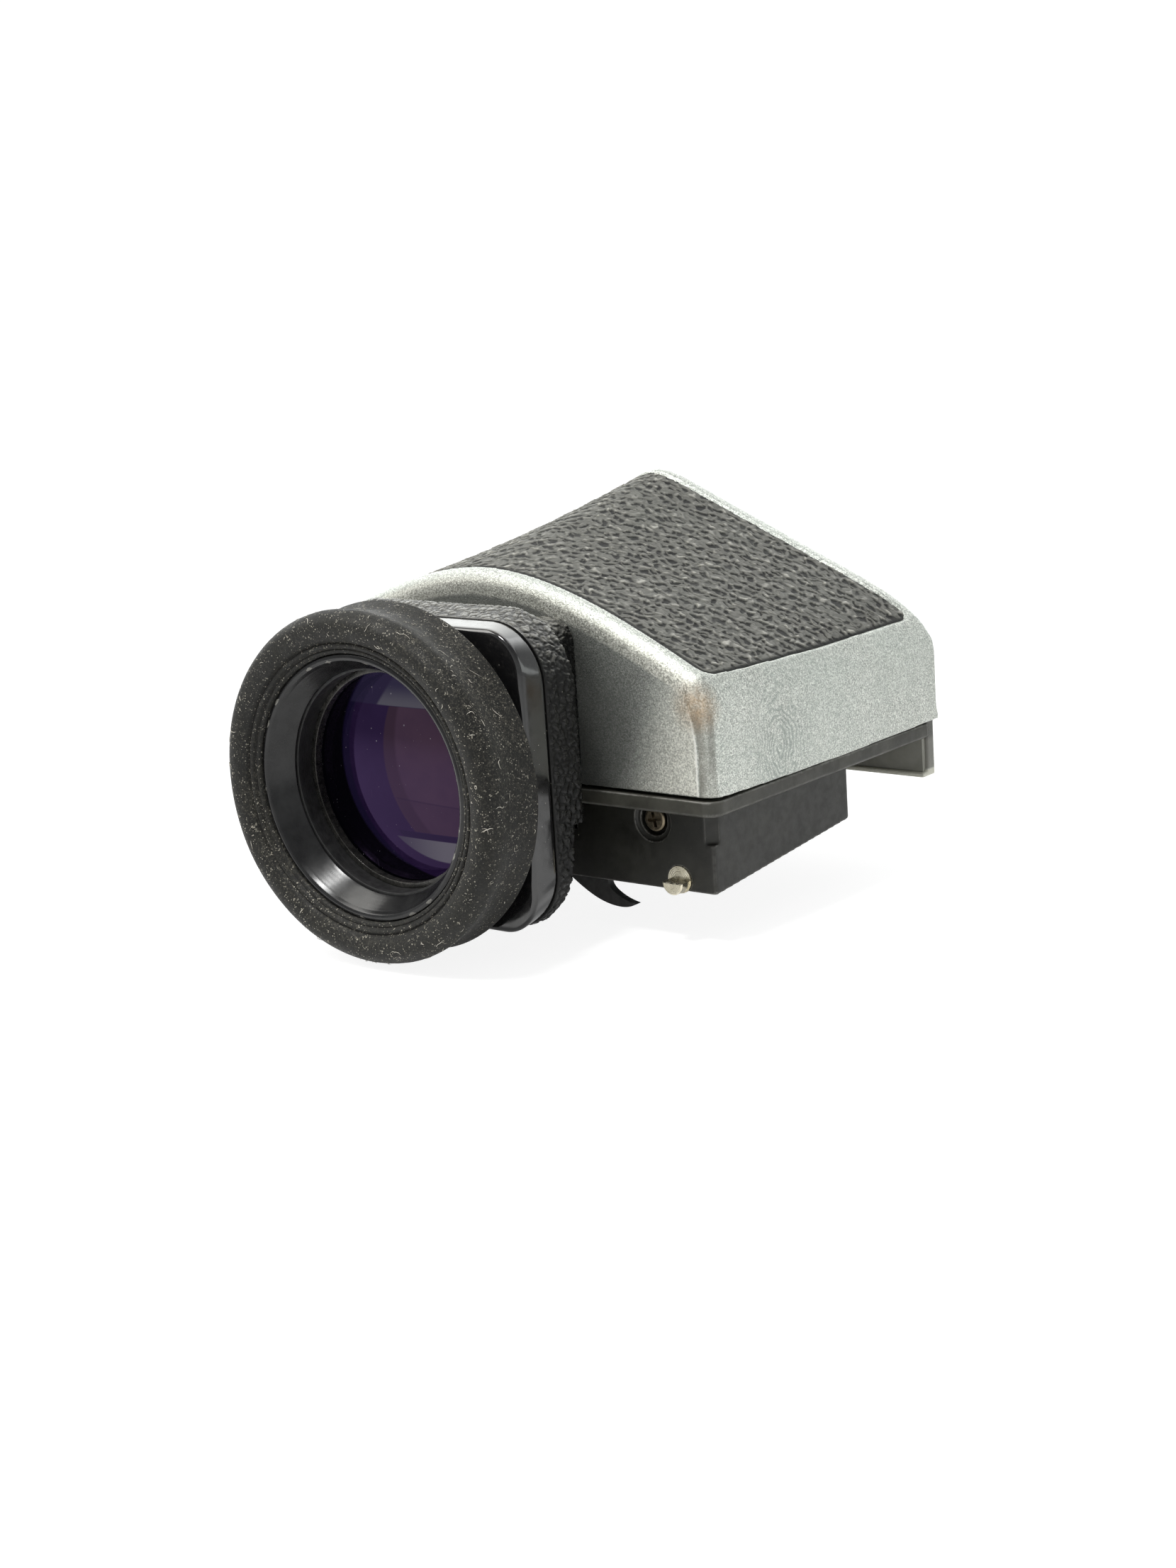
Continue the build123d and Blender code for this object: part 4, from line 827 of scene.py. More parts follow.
def lens_reflection_colours(m):
    """Painted reflections: nested inner reflections and the bright edges of the prism's exit
    window.
    """
    x, _, z = m.xyz()

    def disc(centre, radius, soft=0.16):
        distance = m.radius(x - centre[0], z - centre[1])
        return distance.fade(over=(radius - soft, radius + soft), to=(1.0, 0.0))

    low_edge = z + x * 0.02
    middle = low_edge.fade(over=(-1.05, -0.90)) * z.fade(over=(14.78, 14.62))
    tone = m.mix((0.0012, 0.0012, 0.0022), (0.0085, 0.0060, 0.026),
                 amount=disc(centre=(5.23, 8.13), radius=14.43, soft=0.25))
    film = m.noise(scale=0.22).fade()
    tone = m.mix(tone, m.mix((0.0145, 0.0060, 0.033), (0.020, 0.0092, 0.043), amount=film),
                 amount=disc(centre=(7.5, 8.26), radius=15.31))
    tone = m.mix(tone, (0.045, 0.024, 0.034),
                 amount=disc(centre=(13.0, 9.1), radius=14.61) * middle)
    tone = m.mix(tone, m.mix((0.060, 0.033, 0.053), (0.074, 0.041, 0.062), amount=film),
                 amount=disc(centre=(16.09, 10.18), radius=15.74, soft=0.3) * middle)
    # darker below a slanting line, which is itself darker still
    line = z + x * 0.065
    below = line.fade(over=(3.2, 3.05)) * disc(centre=(13.0, 9.1), radius=14.3) * middle
    tone = m.mix(tone, (0.030, 0.014, 0.028), amount=below * 0.28)
    thin = (line.fade(over=(3.02, 3.12)) * line.fade(over=(3.32, 3.22))
            * disc(centre=(13.0, 9.1), radius=14.3))
    tone = m.mix(tone, (0.020, 0.010, 0.024), amount=thin * 0.5)
    # dark lower edge of the exit window and the bright wedge under it
    band = (low_edge.fade(over=(-0.95, -1.1)) * low_edge.fade(over=(-1.9, -1.75))
            * disc(centre=(9.5, 8.0), radius=13.4))
    tone = m.mix(tone, (0.0075, 0.0045, 0.024), amount=band)
    wedge = (disc(centre=(7.5, 8.26), radius=13.0, soft=0.12)
             * low_edge.fade(over=(-1.78, -1.92)))
    bright = m.mix((0.062, 0.058, 0.078), (0.165, 0.162, 0.178),
                   amount=x.fade(over=(-1.0, 7.5)))
    tone = m.mix(tone, bright, amount=wedge)
    # pale strip over the upper edge, its side leaning with height
    lean_x = x - (z - 15.0) * 0.75
    upper = z.fade(over=(14.68, 14.84))
    tone = m.mix(tone, (0.022, 0.018, 0.048),
                 amount=upper * disc(centre=(5.23, 8.13), radius=14.2))
    pale = m.mix((0.120, 0.118, 0.140), (0.034, 0.032, 0.064),
                 amount=z.fade(over=(14.9, 17.6)))
    tone = m.mix(tone, pale, amount=upper * lean_x.fade(over=(-2.7, -2.1)))
    # dust and hairlines on the glass
    coarse = m.specks(scale=0.85, patch_scale=0.9, over=(0.42, 0.8), size=0.13)
    small = m.specks(scale=2.2, patch_scale=1.1, over=(0.50, 0.8), size=0.16)
    tone = m.mix(tone, (0.30, 0.28, 0.31), amount=coarse.larger(small) * 0.8)
    upright = m.vector_math("MULTIPLY", m.place, (2.6, 1.0, 0.12))
    hairs = (m.noise(scale=1.0, detail=2.0, at=upright).fade(over=(0.70, 0.74))
             * abs(x + 3.5).fade(over=(2.6, 1.4)))
    return m.mix(tone, (0.13, 0.10, 0.17), amount=hairs * 0.35)


def lens_painted_reflections():
    """Violet anti-reflection coating over dark glass, which shows painted reflections as a glow.
    """
    m = Material("eye_lens_painted_reflections")
    # painted reflections, shown as a glow from the glass
    glow = m.add("Emission", {"Color": lens_reflection_colours(m), "Strength": 0.51})
    ripple = m.bump(m.noise(scale=0.35, detail=2.0), strength=0.01, depth=0.05)
    mirror = m.add("BsdfGlossy", {
        "Color": (0.55, 0.36, 0.85), "Roughness": 0.04, "Normal": ripple})
    fresnel = m.add("Fresnel", {"IOR": 1.22})
    amount = m.math("ADD", fresnel, 0.008, clamp=True)
    m.show(m.mix_shader(glow, mirror, amount=amount))
    return m.material


# Keyed by the frame's material slots, with four more looks that pieces ask for by name.
MATERIALS = {
    "satin_silver": silver_paint(),
    "leatherette": leather(),
    "rubber": rubber(),
    "black_moulding": black_plastic(
        "black_moulding", dark=(0.0085, 0.0083, 0.0066), light=(0.0165, 0.0162, 0.0130),
        rough=(0.38, 0.52), wear=0.75),
    # painted light: the liner is a black part in shade, coloured grey so that it reads lit
    "liner": black_plastic(
        "liner_painted_light", dark=(0.190, 0.188, 0.160), light=(0.260, 0.258, 0.225),
        rough=(0.4, 0.55), wear=0.2),
    "flange": black_plastic(
        "flange_moulding", dark=(0.026, 0.0255, 0.0205), light=(0.050, 0.049, 0.040),
        rough=(0.40, 0.54), wear=0.9),
    "grained_moulding": hood_moulding(),
    "gloss_moulding": gloss_black(),
    "satin_black_metal": anodised(),
    "matt_black_metal": matt_black(),
    "ring": ring_metal(),
    "nickel": bare_metal(
        "turned_nickel", dark=(0.52, 0.48, 0.36), light=(0.68, 0.64, 0.52), rough=0.26,
        turned_about=(28.6, -9.0), turning_rate=26.0),
    "black_screw": bare_metal(
        "blackened_screw", dark=(0.10, 0.085, 0.06), light=(0.24, 0.20, 0.14), rough=0.36),
    "zinc_steel": bare_metal(
        "zinc_plate", dark=(0.50, 0.50, 0.47), light=(0.66, 0.66, 0.63), rough=0.30),
    "spring_steel": bare_metal(
        "spring_steel", dark=(0.38, 0.38, 0.37), light=(0.52, 0.52, 0.50), rough=0.28),
    "foam": foam(),
    "lint": lint(),
    "clear_glass": clear_glass(),
    "coated_glass": lens_painted_reflections(),
}


def dress_cad_nodes():
    slots = {part["node"]: part["material_slot"] for part in frame["record"]["subparts"]}
    for name, ob in NODES.items():
        set_material(ob, slots[name])
        sharpen(ob, degrees=32)
    set_material(NODES["rear_lens"], "clear_glass")
    set_material(NODES["front_liner"], "liner")


# ---------------------------------------------------------------------------
# Outer shell: satin casting with softened creases and corners
# ---------------------------------------------------------------------------
def shell_melt(points):
    """How strongly each point of the shell is smoothed."""
    side, y, z = np.abs(points[:, 0]), points[:, 1], points[:, 2]
    crease = np.exp(-((z - 13.5) / 2.0) ** 2) * (side > 33.5)  # side wall to shoulder
    front = eased(y, 29.5, 32.5) * eased(side, 32.0, 34.8) * eased(z, 2.9, 4.5) * 0.45
    back = eased(-y, 13.0, 15.2) * eased(side, 33.0, 34.6) * eased(z, 2.9, 4.2) * 0.8
    return np.clip(np.maximum.reduce([crease, front, back]), 0, 1) * 0.75


def shell_marks(points, normals):
    """Distance down the back face from the roof line, kept for the painted highlight on the back
    fillet.
    """
    side, y, z = np.abs(points[:, 0]), points[:, 1], points[:, 2]
    stations = np.linspace(0, 34.0, 69)
    roof = np.zeros(len(stations))
    back = (y < -13.2) & (normals[:, 2] > 0.2)
    for i, station in enumerate(stations):
        near = back & (np.abs(side - station) < 0.4)
        roof[i] = z[near].max() if near.any() else (roof[i - 1] if i else 20.0)
    roof = np.convolve(np.pad(roof, 3, mode="edge"), np.ones(7) / 7, "valid")
    fall = np.interp(side, stations, np.gradient(roof, stations))
    below = (np.interp(side, stations, roof) - z) / np.sqrt(1 + fall ** 2)
    return points, {"below": np.where(y < -13.5, below, 20.0)}


def outer_shell():
    shell = soft_copy("outer_shell", "shell_skin", SHELL_VOXEL, rounds=4,
                      shape=shell_marks, melt=shell_melt, melt_rounds=40)
    finish_piece(shell, "satin_silver", "outer_shell")


# ---------------------------------------------------------------------------
# Leatherette: a sheet whose grain is real relief
# ---------------------------------------------------------------------------
def last_inside(low, high, inside):
    """The largest value, by halving, that is still inside."""
    for _ in range(16):
        middle = (low + high) / 2
        if inside(middle):
            low = middle
        else:
            high = middle
    return low


def top_basis(x, y):
    """Polynomial terms of the vault, even in x apart from its odd fifth power of |x|."""
    a, b = np.abs(x) / 35.0, y / 35.0
    return np.stack([(a ** i) * (b ** j) for i in (0, 2, 3, 4, 5, 6, 8) for j in range(4)], -1)


def fit_sheet():
    """Back edge, side and front limit polynomials, and height function of the CAD sheet."""
    mesh = NODES["leatherette_panel"].data
    points = mesh_arrays(mesh)[0]
    tree = BVHTree.FromPolygons([Vector(p) for p in points],
                                [tuple(p.vertices) for p in mesh.polygons])

    def top_z(x, y):
        hit = tree.ray_cast(Vector((x, y, 80.0)), Vector((0, 0, -1)))[0]
        return None if hit is None else hit.z

    back_y = float(points[:, 1].min())
    samples = []
    for y in np.linspace(back_y + 0.02, float(points[:, 1].max()), 76):
        for x in np.linspace(-35.2, 35.2, 89):
            z = top_z(x, y)
            if z is not None:
                samples.append((x, y, z))
    x, y, z = np.array(samples).T
    # a smooth surface, so that the top can be read past its rim
    terms = np.linalg.lstsq(top_basis(x, y), z, rcond=None)[0]

    side_at = np.linspace(back_y + 2.6, 26.0, 26)
    side = [last_inside(30.0, 37.0, lambda x: top_z(x, y) is not None) for y in side_at]
    front_at = np.linspace(0, 32.5, 30)
    front = [last_inside(15.0, 36.0, lambda y: top_z(x, y) is not None) for x in front_at]
    return (back_y, np.polyfit(side_at, side, 4), np.polyfit(front_at, front, 6),
            lambda x, y: top_basis(x, y) @ terms)


def corner_cut(to_back, to_front, back_radius=2.2, front_radius=1.8):
    """How far the sheet's rounded corners draw in its sides."""
    cut = np.zeros_like(to_back)
    for distance, radius in ((to_back, back_radius), (to_front, front_radius)):
        inside = np.clip(radius - distance, 0, radius)
        cut += radius - np.sqrt(np.maximum(radius ** 2 - inside ** 2, 0))
    return cut


def leather_grain(across, along):
    """Grain height, 0 to 1.15, at places measured over the surface."""
    place = np.stack([across, along, np.zeros_like(across)], -1)

    def wander(value, seed):
        return (value + 0.55 * value_noise(place * 0.7, seed)
                + 0.24 * value_noise(place * 2.0, seed + 1))

    wa, wb = wander(across, 3), wander(along, 5)
    # pebbles lie in loose slanting rows; each dips at one side and rises to a crest
    qa = wa * 0.867 + wb * 0.499
    qb = wa * 0.499 - wb * 0.867
    du, dv, dip_id, crest_id = pebbles(qa / 1.30, qb / 1.50, seed=8, jitter=0.72)

    def ripple(rate_a, rate_b, slice_z, seed):
        level = np.zeros_like(qa) + slice_z
        return value_noise(np.stack([qa * rate_a, qb * rate_b, level], -1), seed)

    broad = ripple(2.1, 3.2, 0.0, seed=21)
    small = ripple(3.9, 4.8, 3.7, seed=27)
    fine = ripple(6.5, 7.0, 1.9, seed=33)
    dv = dv + 0.62 * (du * du - 0.07) * (0.5 + dip_id) + 0.11 * broad + 0.07 * small
    dip = (eased(-dv, 0.06, 0.30) * eased(-np.abs(du + 0.10 * small), -0.52, -0.22)
           * (0.40 + 0.60 * dip_id))
    crest = (eased(dv, 0.20, 0.36) * eased(-np.abs(du - 0.10 * small), -0.50, -0.16)
             * (0.25 + 0.75 * crest_id))
    tone = 0.50 - 0.66 * dip + 0.40 * crest + 0.07 * broad + 0.10 * small + 0.10 * fine
    return np.clip(tone, 0, 1.15)


def leatherette():
    back_y, side_fit, front_fit, height = fit_sheet()

    def front_y(x):
        return np.polyval(front_fit, np.minimum(np.abs(x), 34.5))

    columns, rows = int(70 / SHEET_PITCH), int(46 / SHEET_PITCH)
    u = np.linspace(-1, 1, columns)
    # points bunch towards the side rims
    u = np.sin(u * np.pi / 2 * 0.92) / math.sin(np.pi / 2 * 0.92) * 0.35 + u * 0.65
    v_grid, u_grid = np.meshgrid(np.linspace(0, 1, rows), u, indexing="ij")
    # the side limit depends on y and the front limit on x, so they are settled in turn
    x = u_grid * 34.6
    for _ in range(3):
        front = front_y(x)
        y = back_y + (front - back_y) * v_grid
        side = (np.polyval(side_fit, np.clip(y, back_y + 2.0, 27.0))
                - corner_cut(y - back_y, front - y))
        x = u_grid * side
    front = front_y(x)
    y = back_y + (front - back_y) * v_grid

    flat_x, flat_y = x.ravel(), y.ravel()
    step = 0.3
    slope_x = (height(flat_x + step, flat_y) - height(flat_x - step, flat_y)) / (2 * step)
    slope_y = (height(flat_x, flat_y + step) - height(flat_x, flat_y - step)) / (2 * step)
    normals = np.stack([-slope_x, -slope_y, np.ones_like(slope_x)], -1)
    normals /= np.linalg.norm(normals, axis=1)[:, None]
    # grain runs in arc length across the vault
    stretch = np.sqrt(1 + slope_x ** 2).reshape(x.shape)
    spans = (stretch[:, 1:] + stretch[:, :-1]) / 2 * np.diff(x, axis=1)
    arc = np.cumsum(np.concatenate([np.zeros((rows, 1)), spans], 1), 1)
    arc = arc - arc[:, columns // 2][:, None]
    grain = leather_grain(arc.ravel(), flat_y)

    # relief fades and the sheet drops at the rolled rim
    to_back = (y - back_y).ravel()
    to_edge = np.minimum.reduce([-(np.abs(x) - side).ravel(), to_back, (front - y).ravel()])
    roll = eased(to_edge, 0.0, 0.55)
    rim = np.clip(to_edge / 0.4, 0, 1)
    drop = (1 - np.sqrt(np.clip(1 - (1 - rim) ** 2, 0, 1))) * 0.26
    lift = -0.22 + 0.30 * grain * (0.35 + 0.65 * roll) - drop
    top = np.stack([flat_x, flat_y, height(flat_x, flat_y)], -1) + normals * lift[:, None]
    # painted shade and highlight: the grain height doubles as colour, dark in the dips, light on
    # the crests; painted shadow darkens the rim, widest at the back edge, as in the gap at the
    # recess
    tone = (np.clip(grain, 0, 1) * (0.3 + 0.7 * roll) * eased(to_edge, 0.05, 0.34)
            * eased(to_back, 0.25, 0.70))

    # side wall down into the recess
    edge = np.concatenate([
        np.arange(columns),
        np.arange(1, rows) * columns + columns - 1,
        (rows - 1) * columns + np.arange(columns - 2, -1, -1),
        np.arange(rows - 2, 0, -1) * columns])
    walls = [top[edge] - normals[edge] * depth for depth in (0.22, 0.42)]
    upper = len(top) + np.arange(len(edge))
    lower = upper + len(edge)
    quads = [grid_quads(rows, columns, False, False)]
    for above, under in ((edge, upper), (upper, lower)):
        quads.append(np.stack([above, under, np.roll(under, -1), np.roll(above, -1)], -1))
    # the walls down into the recess carry no relief, so they are black as painted shadow
    sheet = build("leatherette_sheet", np.concatenate([top] + walls), np.concatenate(quads),
                  attributes={"cav": np.concatenate([tone, np.zeros(2 * len(edge))])})
    finish_piece(sheet, "leatherette", "leatherette_panel")


# ---------------------------------------------------------------------------
# Black mouldings, grained eyepiece hood and its gloss frame
# ---------------------------------------------------------------------------
def flange_and_block():
    flange = soft_copy("base_flange", "flange_skin", MOULDING_VOXEL)
    finish_piece(flange, "black_moulding", "base_flange", look="flange")
    block = soft_copy("well_block", "block_skin", MOULDING_VOXEL)
    finish_piece(block, "black_moulding", "well_block")


def hood_grain(points, normals):
    """Raises cells on the hood's outside, fading towards the gloss frame."""
    radius = np.hypot(points[:, 0], points[:, 2] - AXIS_Z)
    outside = eased(radius, 15.6, 16.4) * eased(-normals[:, 1], 0.9, 0.5)
    warp = np.stack([value_noise(points * 1.3, seed) for seed in (41, 42, 43)], -1)
    place = points + 0.30 * warp
    height = (0.7 * eased(cell_gap(place / 1.15, 44), 0.0, 0.34)
              + 0.3 * eased(cell_gap(place / 0.6, 47), 0.0, 0.35))
    height = np.clip(height, 0, 1)
    clear_of_frame = eased(points[:, 1], -27.15, -26.7)
    lift = (-0.10 + 0.22 * height) * outside * clear_of_frame
    return points + normals * lift[:, None], {"cav": 0.35 + (height - 0.35) * outside}


def hood():
    skin = soft_copy("eyepiece_housing", "hood_skin", MOULDING_VOXEL, shape=hood_grain)
    finish_piece(skin, "grained_moulding", "eyepiece_housing")


def rounded_square(half, radius, y, arc_steps=20, side_steps=24):
    points = []
    c = half - radius
    centres = [(c, c), (-c, c), (-c, -c), (c, -c)]
    side_ends = [(-c, half), (-half, -c), (c, -half), (half, c)]
    for quarter, ((cx, cz), (end_x, end_z)) in enumerate(zip(centres, side_ends)):
        for k in range(arc_steps + 1):
            angle = quarter * math.pi / 2 + k / arc_steps * math.pi / 2
            points.append((cx + radius * math.cos(angle), cz + radius * math.sin(angle)))
        x, z = points[-1]
        for k in range(1, side_steps):
            t = k / side_steps
            points.append((x + (end_x - x) * t, z + (end_z - z) * t))
    points = np.array(points)
    return np.stack([points[:, 0], np.full(len(points), y), AXIS_Z + points[:, 1]], -1)


def gloss_frame():
    """Rounded square that tapers towards the eye, with a round hole for the barrel."""
    inner_half, outer_half = 19.30, 19.05
    inner_corner, outer_corner = 7.8, 5.2
    inner_round, outer_round = 0.28, 0.6
    hole = 15.18

    def section(y, inset=0.0):
        t = (y - FRAME_INNER_Y) / (FRAME_OUTER_Y - FRAME_INNER_Y)
        half = inner_half + (outer_half - inner_half) * t
        corner = inner_corner + (outer_corner - inner_corner) * t
        return rounded_square(half - inset, corner - inset, y)

    loops = []
    for t in (0.0, 0.35, 0.7, 1.0):
        angle = t * math.pi / 2
        loops.append(section(FRAME_INNER_Y - inner_round * (1 - math.cos(angle)),
                             inset=inner_round * (1 - math.sin(angle))))
    for y in np.linspace(FRAME_INNER_Y - 0.6, FRAME_OUTER_Y + 0.62, 7):
        loops.append(section(y))
    for k in range(1, 8):
        angle = k / 7 * math.pi / 2
        loops.append(section(FRAME_OUTER_Y + outer_round * (1 - math.sin(angle)),
                             inset=outer_round * (1 - math.cos(angle))))
    rim = loops[-1]
    angles = np.arctan2(rim[:, 2] - AXIS_Z, rim[:, 0])

    def circle(radius, y):
        return np.stack([radius * np.cos(angles), np.full(len(rim), y),
                         AXIS_Z + radius * np.sin(angles)], -1)

    for t in (0.15, 0.4, 0.7, 0.9):
        loop = rim + (circle(hole, FRAME_OUTER_Y) - rim) * t
        loop[:, 1] = FRAME_OUTER_Y
        loops.append(loop)
    loops.append(circle(hole + 0.15, FRAME_OUTER_Y))
    loops.append(circle(hole, FRAME_OUTER_Y + 0.15))
    loops.append(circle(hole, FRAME_INNER_Y - 0.1))
    loops.append(circle(hole + 0.1, FRAME_INNER_Y))
    skin = ring_solid("gloss_frame_skin", np.concatenate(loops), len(loops), len(rim))
    finish_piece(skin, "gloss_moulding", "eyepiece_front_frame")
    sharpen(skin, degrees=50)


# ---------------------------------------------------------------------------
# Turned parts; every profile is a closed list of (radius, y)
# ---------------------------------------------------------------------------
RING_PROFILE = [
    (16.0, RING_LIP_Y), (16.35, RING_LIP_Y - 0.12), (16.75, RING_LIP_Y),
    (RING_RADIUS, RING_LIP_Y + 0.5), (RING_RADIUS, -39.2), (RING_NECK, -39.2),
    (RING_NECK, -34.6), (16.9, -34.6), (16.9, -31.45), (15.3, -31.45), (15.3, -34.3),
    (14.95, -34.6), (14.95, -36.95), (14.4, -37.0), (14.4, -37.2), (15.75, RING_LIP_Y + 0.35),
]
BARREL_PROFILE = [
    (13.0, -15.4), (14.5, -15.4), (14.5, -16.62), (BARREL_RADIUS, -16.62),
    (BARREL_RADIUS, -33.9), (14.9, -34.2), (14.9, -36.9), (14.1, -36.9),
    (14.1, LENS_BACK_Y), (13.0, LENS_BACK_Y),
]
RETAINING_PROFILE = [(13.4, -34.5), (14.05, -34.5), (14.05, -33.1), (13.7, -33.15), (13.4, -33.3)]


def metal_rings():
    ring = lathe("eyecup_ring_skin", resample(soften(RING_PROFILE, 0.09), 0.5), segments=320)
    finish_piece(ring, "satin_black_metal", "eyecup_ring")
    barrel = lathe("barrel_skin", resample(soften(BARREL_PROFILE, 0.07), 0.8))
    finish_piece(barrel, "matt_black_metal", "lens_barrel")
    retaining = lathe("retaining_ring_skin", resample(soften(RETAINING_PROFILE, 0.06), 0.4))
    finish_piece(retaining, "satin_black_metal", "lens_retaining_ring", look="ring")


def cap_depth(r, rim, sag):
    """Depth below its pole, at radius r, of a spherical cap of that rim and sag."""
    sphere = (rim * rim + sag * sag) / (2 * sag)
    return sphere - math.sqrt(sphere * sphere - r * r)


def eye_lens():
    pole = 0.004        # keeps the profile just off the axis
    inner_sag = 0.9
    profile = []
    for k in range(31):
        r = LENS_RADIUS * k / 30 + pole
        profile.append((r, LENS_POLE_Y + cap_depth(r, rim=14.05, sag=1.3)))
    profile += [(LENS_RADIUS, -29.45), (12.2, -29.42)]
    for k in range(24):
        r = 12.15 * (1 - k / 23) + pole
        profile.append((r, LENS_BACK_Y - inner_sag + cap_depth(r, rim=12.2, sag=inner_sag)))
    lens = lathe("eye_lens_skin", profile)
    finish_piece(lens, "coated_glass", "eye_lens")
    sharpen(lens, degrees=40)


# ---------------------------------------------------------------------------
# Rubber eyecup
# ---------------------------------------------------------------------------
RUN = 0.04              # running clearance over the ring
CUP_BORE = [
    (RING_NECK + RUN, -34.65), (RING_NECK + RUN, -39.15), (RING_RADIUS + RUN, -39.15),
    (RING_RADIUS + RUN, -40.65), (17.08, -40.95), (17.38, -41.0), (17.5, -40.85),
    (17.62, -41.05), (17.78, -41.32), (18.05, -41.42), (18.25, -41.3), (18.36, -41.12),
    (18.48, -41.32), (18.66, -41.62), (18.95, -41.82),
]
CUP_BEAD = [
    (18.95, -41.82), (19.6, -42.12), (20.4, -42.22), (21.2, -42.0), (21.85, -41.35),
    (22.2, -40.6), (22.3, -39.9), (22.18, -39.2), (21.95, -38.4), (21.75, -37.4),
    (21.7, -36.4), (21.8, -35.4), (22.02, -34.3), (22.25, -33.35),
]
CUP_INSIDE = [
    (22.2, -33.22), (22.05, -33.17), (21.5, -33.2), (20.7, -33.5), (20.4, -34.6),
    (19.6, -37.2), (18.2, -37.4), (17.6, -36.0), (17.4, -34.65),
]


def catmull(points, steps):
    """Catmull-Rom curve through the points."""
    p = [np.array(v, float) for v in points]
    p = [2 * p[0] - p[1]] + p + [2 * p[-1] - p[-2]]
    out = []
    for i in range(1, len(p) - 2):
        before, start, end, after = p[i - 1:i + 3]
        for j in range(steps):
            t = j / steps
            out.append(0.5 * (
                2 * start + (end - before) * t
                + (2 * before - 5 * start + 4 * end - after) * t * t
                + (-before + 3 * start - 3 * end + after) * t ** 3))
    out.append(p[-2])
    return out


BEAD = catmull(CUP_BEAD, steps=5)


def cup_wobble(points):
    """Uneven moulded rubber: slow swells and a fine skin, none at the bore."""
    radius = np.hypot(points[:, 0], points[:, 2] - AXIS_Z)
    angle = np.arctan2(points[:, 2] - AXIS_Z, points[:, 0])
    amount = eased(radius, 17.3, 19.0)
    place = np.stack([np.cos(angle) * 2.2, np.sin(angle) * 2.2, points[:, 1] * 0.12], -1)
    swell = value_noise(place, 61) * 0.07 + value_noise(place * 2.7, 62) * 0.025
    fine = (value_noise(points * 2.4, 65) * 0.010 + value_noise(points * 5.5, 66) * 0.006) * amount
    scale = 1 + amount * swell / np.maximum(radius, 1)
    x, z = points[:, 0] * scale, (points[:, 2] - AXIS_Z) * scale
    y = (points[:, 1] + amount * value_noise(place * 1.3, 63) * 0.05
         + fine * np.sign(-points[:, 1] - 41))
    scale = 1 + fine / np.maximum(np.hypot(x, z), 1)
    return np.stack([x * scale, y, AXIS_Z + z * scale], -1)


def eyecup():
    profile = np.concatenate([
        soften(CUP_BORE, 0.10, closed=False), BEAD[1:], soften(CUP_INSIDE, 0.18, closed=False)])
    cup = lathe("eyecup_rubber", resample(profile, 0.28), segments=420, shape=cup_wobble)
    finish_piece(cup, "rubber", "rubber_eyecup", body="eyecup")


# ---------------------------------------------------------------------------
# Lint and dust
# ---------------------------------------------------------------------------
class Pile:
    """Small loose meshes gathered into one."""

    def __init__(self):
        self.points, self.quads, self.tris = [], [], []
        self.count = 0

    def add(self, points, tris, quads=None):
        self.points.append(points)
        self.tris.append(tris + self.count)
        if quads is not None:
            self.quads.append(quads + self.count)
        self.count += len(points)

    def build(self, name):
        quads = np.concatenate(self.quads) if self.quads else None
        return build(name, np.concatenate(self.points), quads, np.concatenate(self.tris),
                     smooth=False)


def add_fibre(pile, path, radius, sides=5):
    """A thin tube along the path, tapered to both ends."""
    path = np.array(path)
    rows = len(path)
    along = np.gradient(path, axis=0)
    along /= np.linalg.norm(along, axis=1)[:, None] + 1e-12
    across = np.cross(along, np.array([0.31, 0.52, 0.79]))
    across /= np.linalg.norm(across, axis=1)[:, None] + 1e-12
    third = np.cross(along, across)
    angle = np.linspace(0, 2 * np.pi, sides, endpoint=False)
    taper = np.sin(np.linspace(0.25, math.pi - 0.25, rows))[:, None, None]
    ring = (np.cos(angle)[None, :, None] * across[:, None, :]
            + np.sin(angle)[None, :, None] * third[:, None, :])
    points = (path[:, None, :] + radius * taper * ring).reshape(-1, 3)
    tris = []
    for cap in (range(sides)[::-1], range((rows - 1) * sides, rows * sides)):
        for k in range(1, sides - 1):
            tris.append((cap[0], cap[k], cap[k + 1]))
    pile.add(points, np.array(tris), grid_quads(rows, sides, False, True))


def add_crumb(pile, centre, radius):
    """A crooked octahedron."""
    points = np.array([(1, 0, 0), (-1, 0, 0), (0, 1, 0), (0, -1, 0), (0, 0, 1), (0, 0, -1)], float)
    points = points * (radius * RNG.uniform(0.6, 1.3, (6, 1)))
    tris = np.array([(0, 2, 4), (2, 1, 4), (1, 3, 4), (3, 0, 4),
                     (2, 0, 5), (1, 2, 5), (3, 1, 5), (0, 3, 5)])
    pile.add(centre + points, tris)


def cup_point(along, angle, lift):
    """Point above the cup's bead; along runs 0 to 1 over its profile."""
    k = min(max(along, 0.0), 1.0) * (len(BEAD) - 1.001)
    i = int(k)
    span = BEAD[i + 1] - BEAD[i]
    point = BEAD[i] + span * (k - i)
    direction = span / np.linalg.norm(span)
    normal = np.array([-direction[1], direction[0]])
    if np.dot(normal, point - np.array([19.5, -38.0])) < 0:   # (radius, y) inside the bead
        normal = -normal
    r, y = point + normal * lift
    return np.array([r * math.cos(angle), y, AXIS_Z + r * math.sin(angle)])


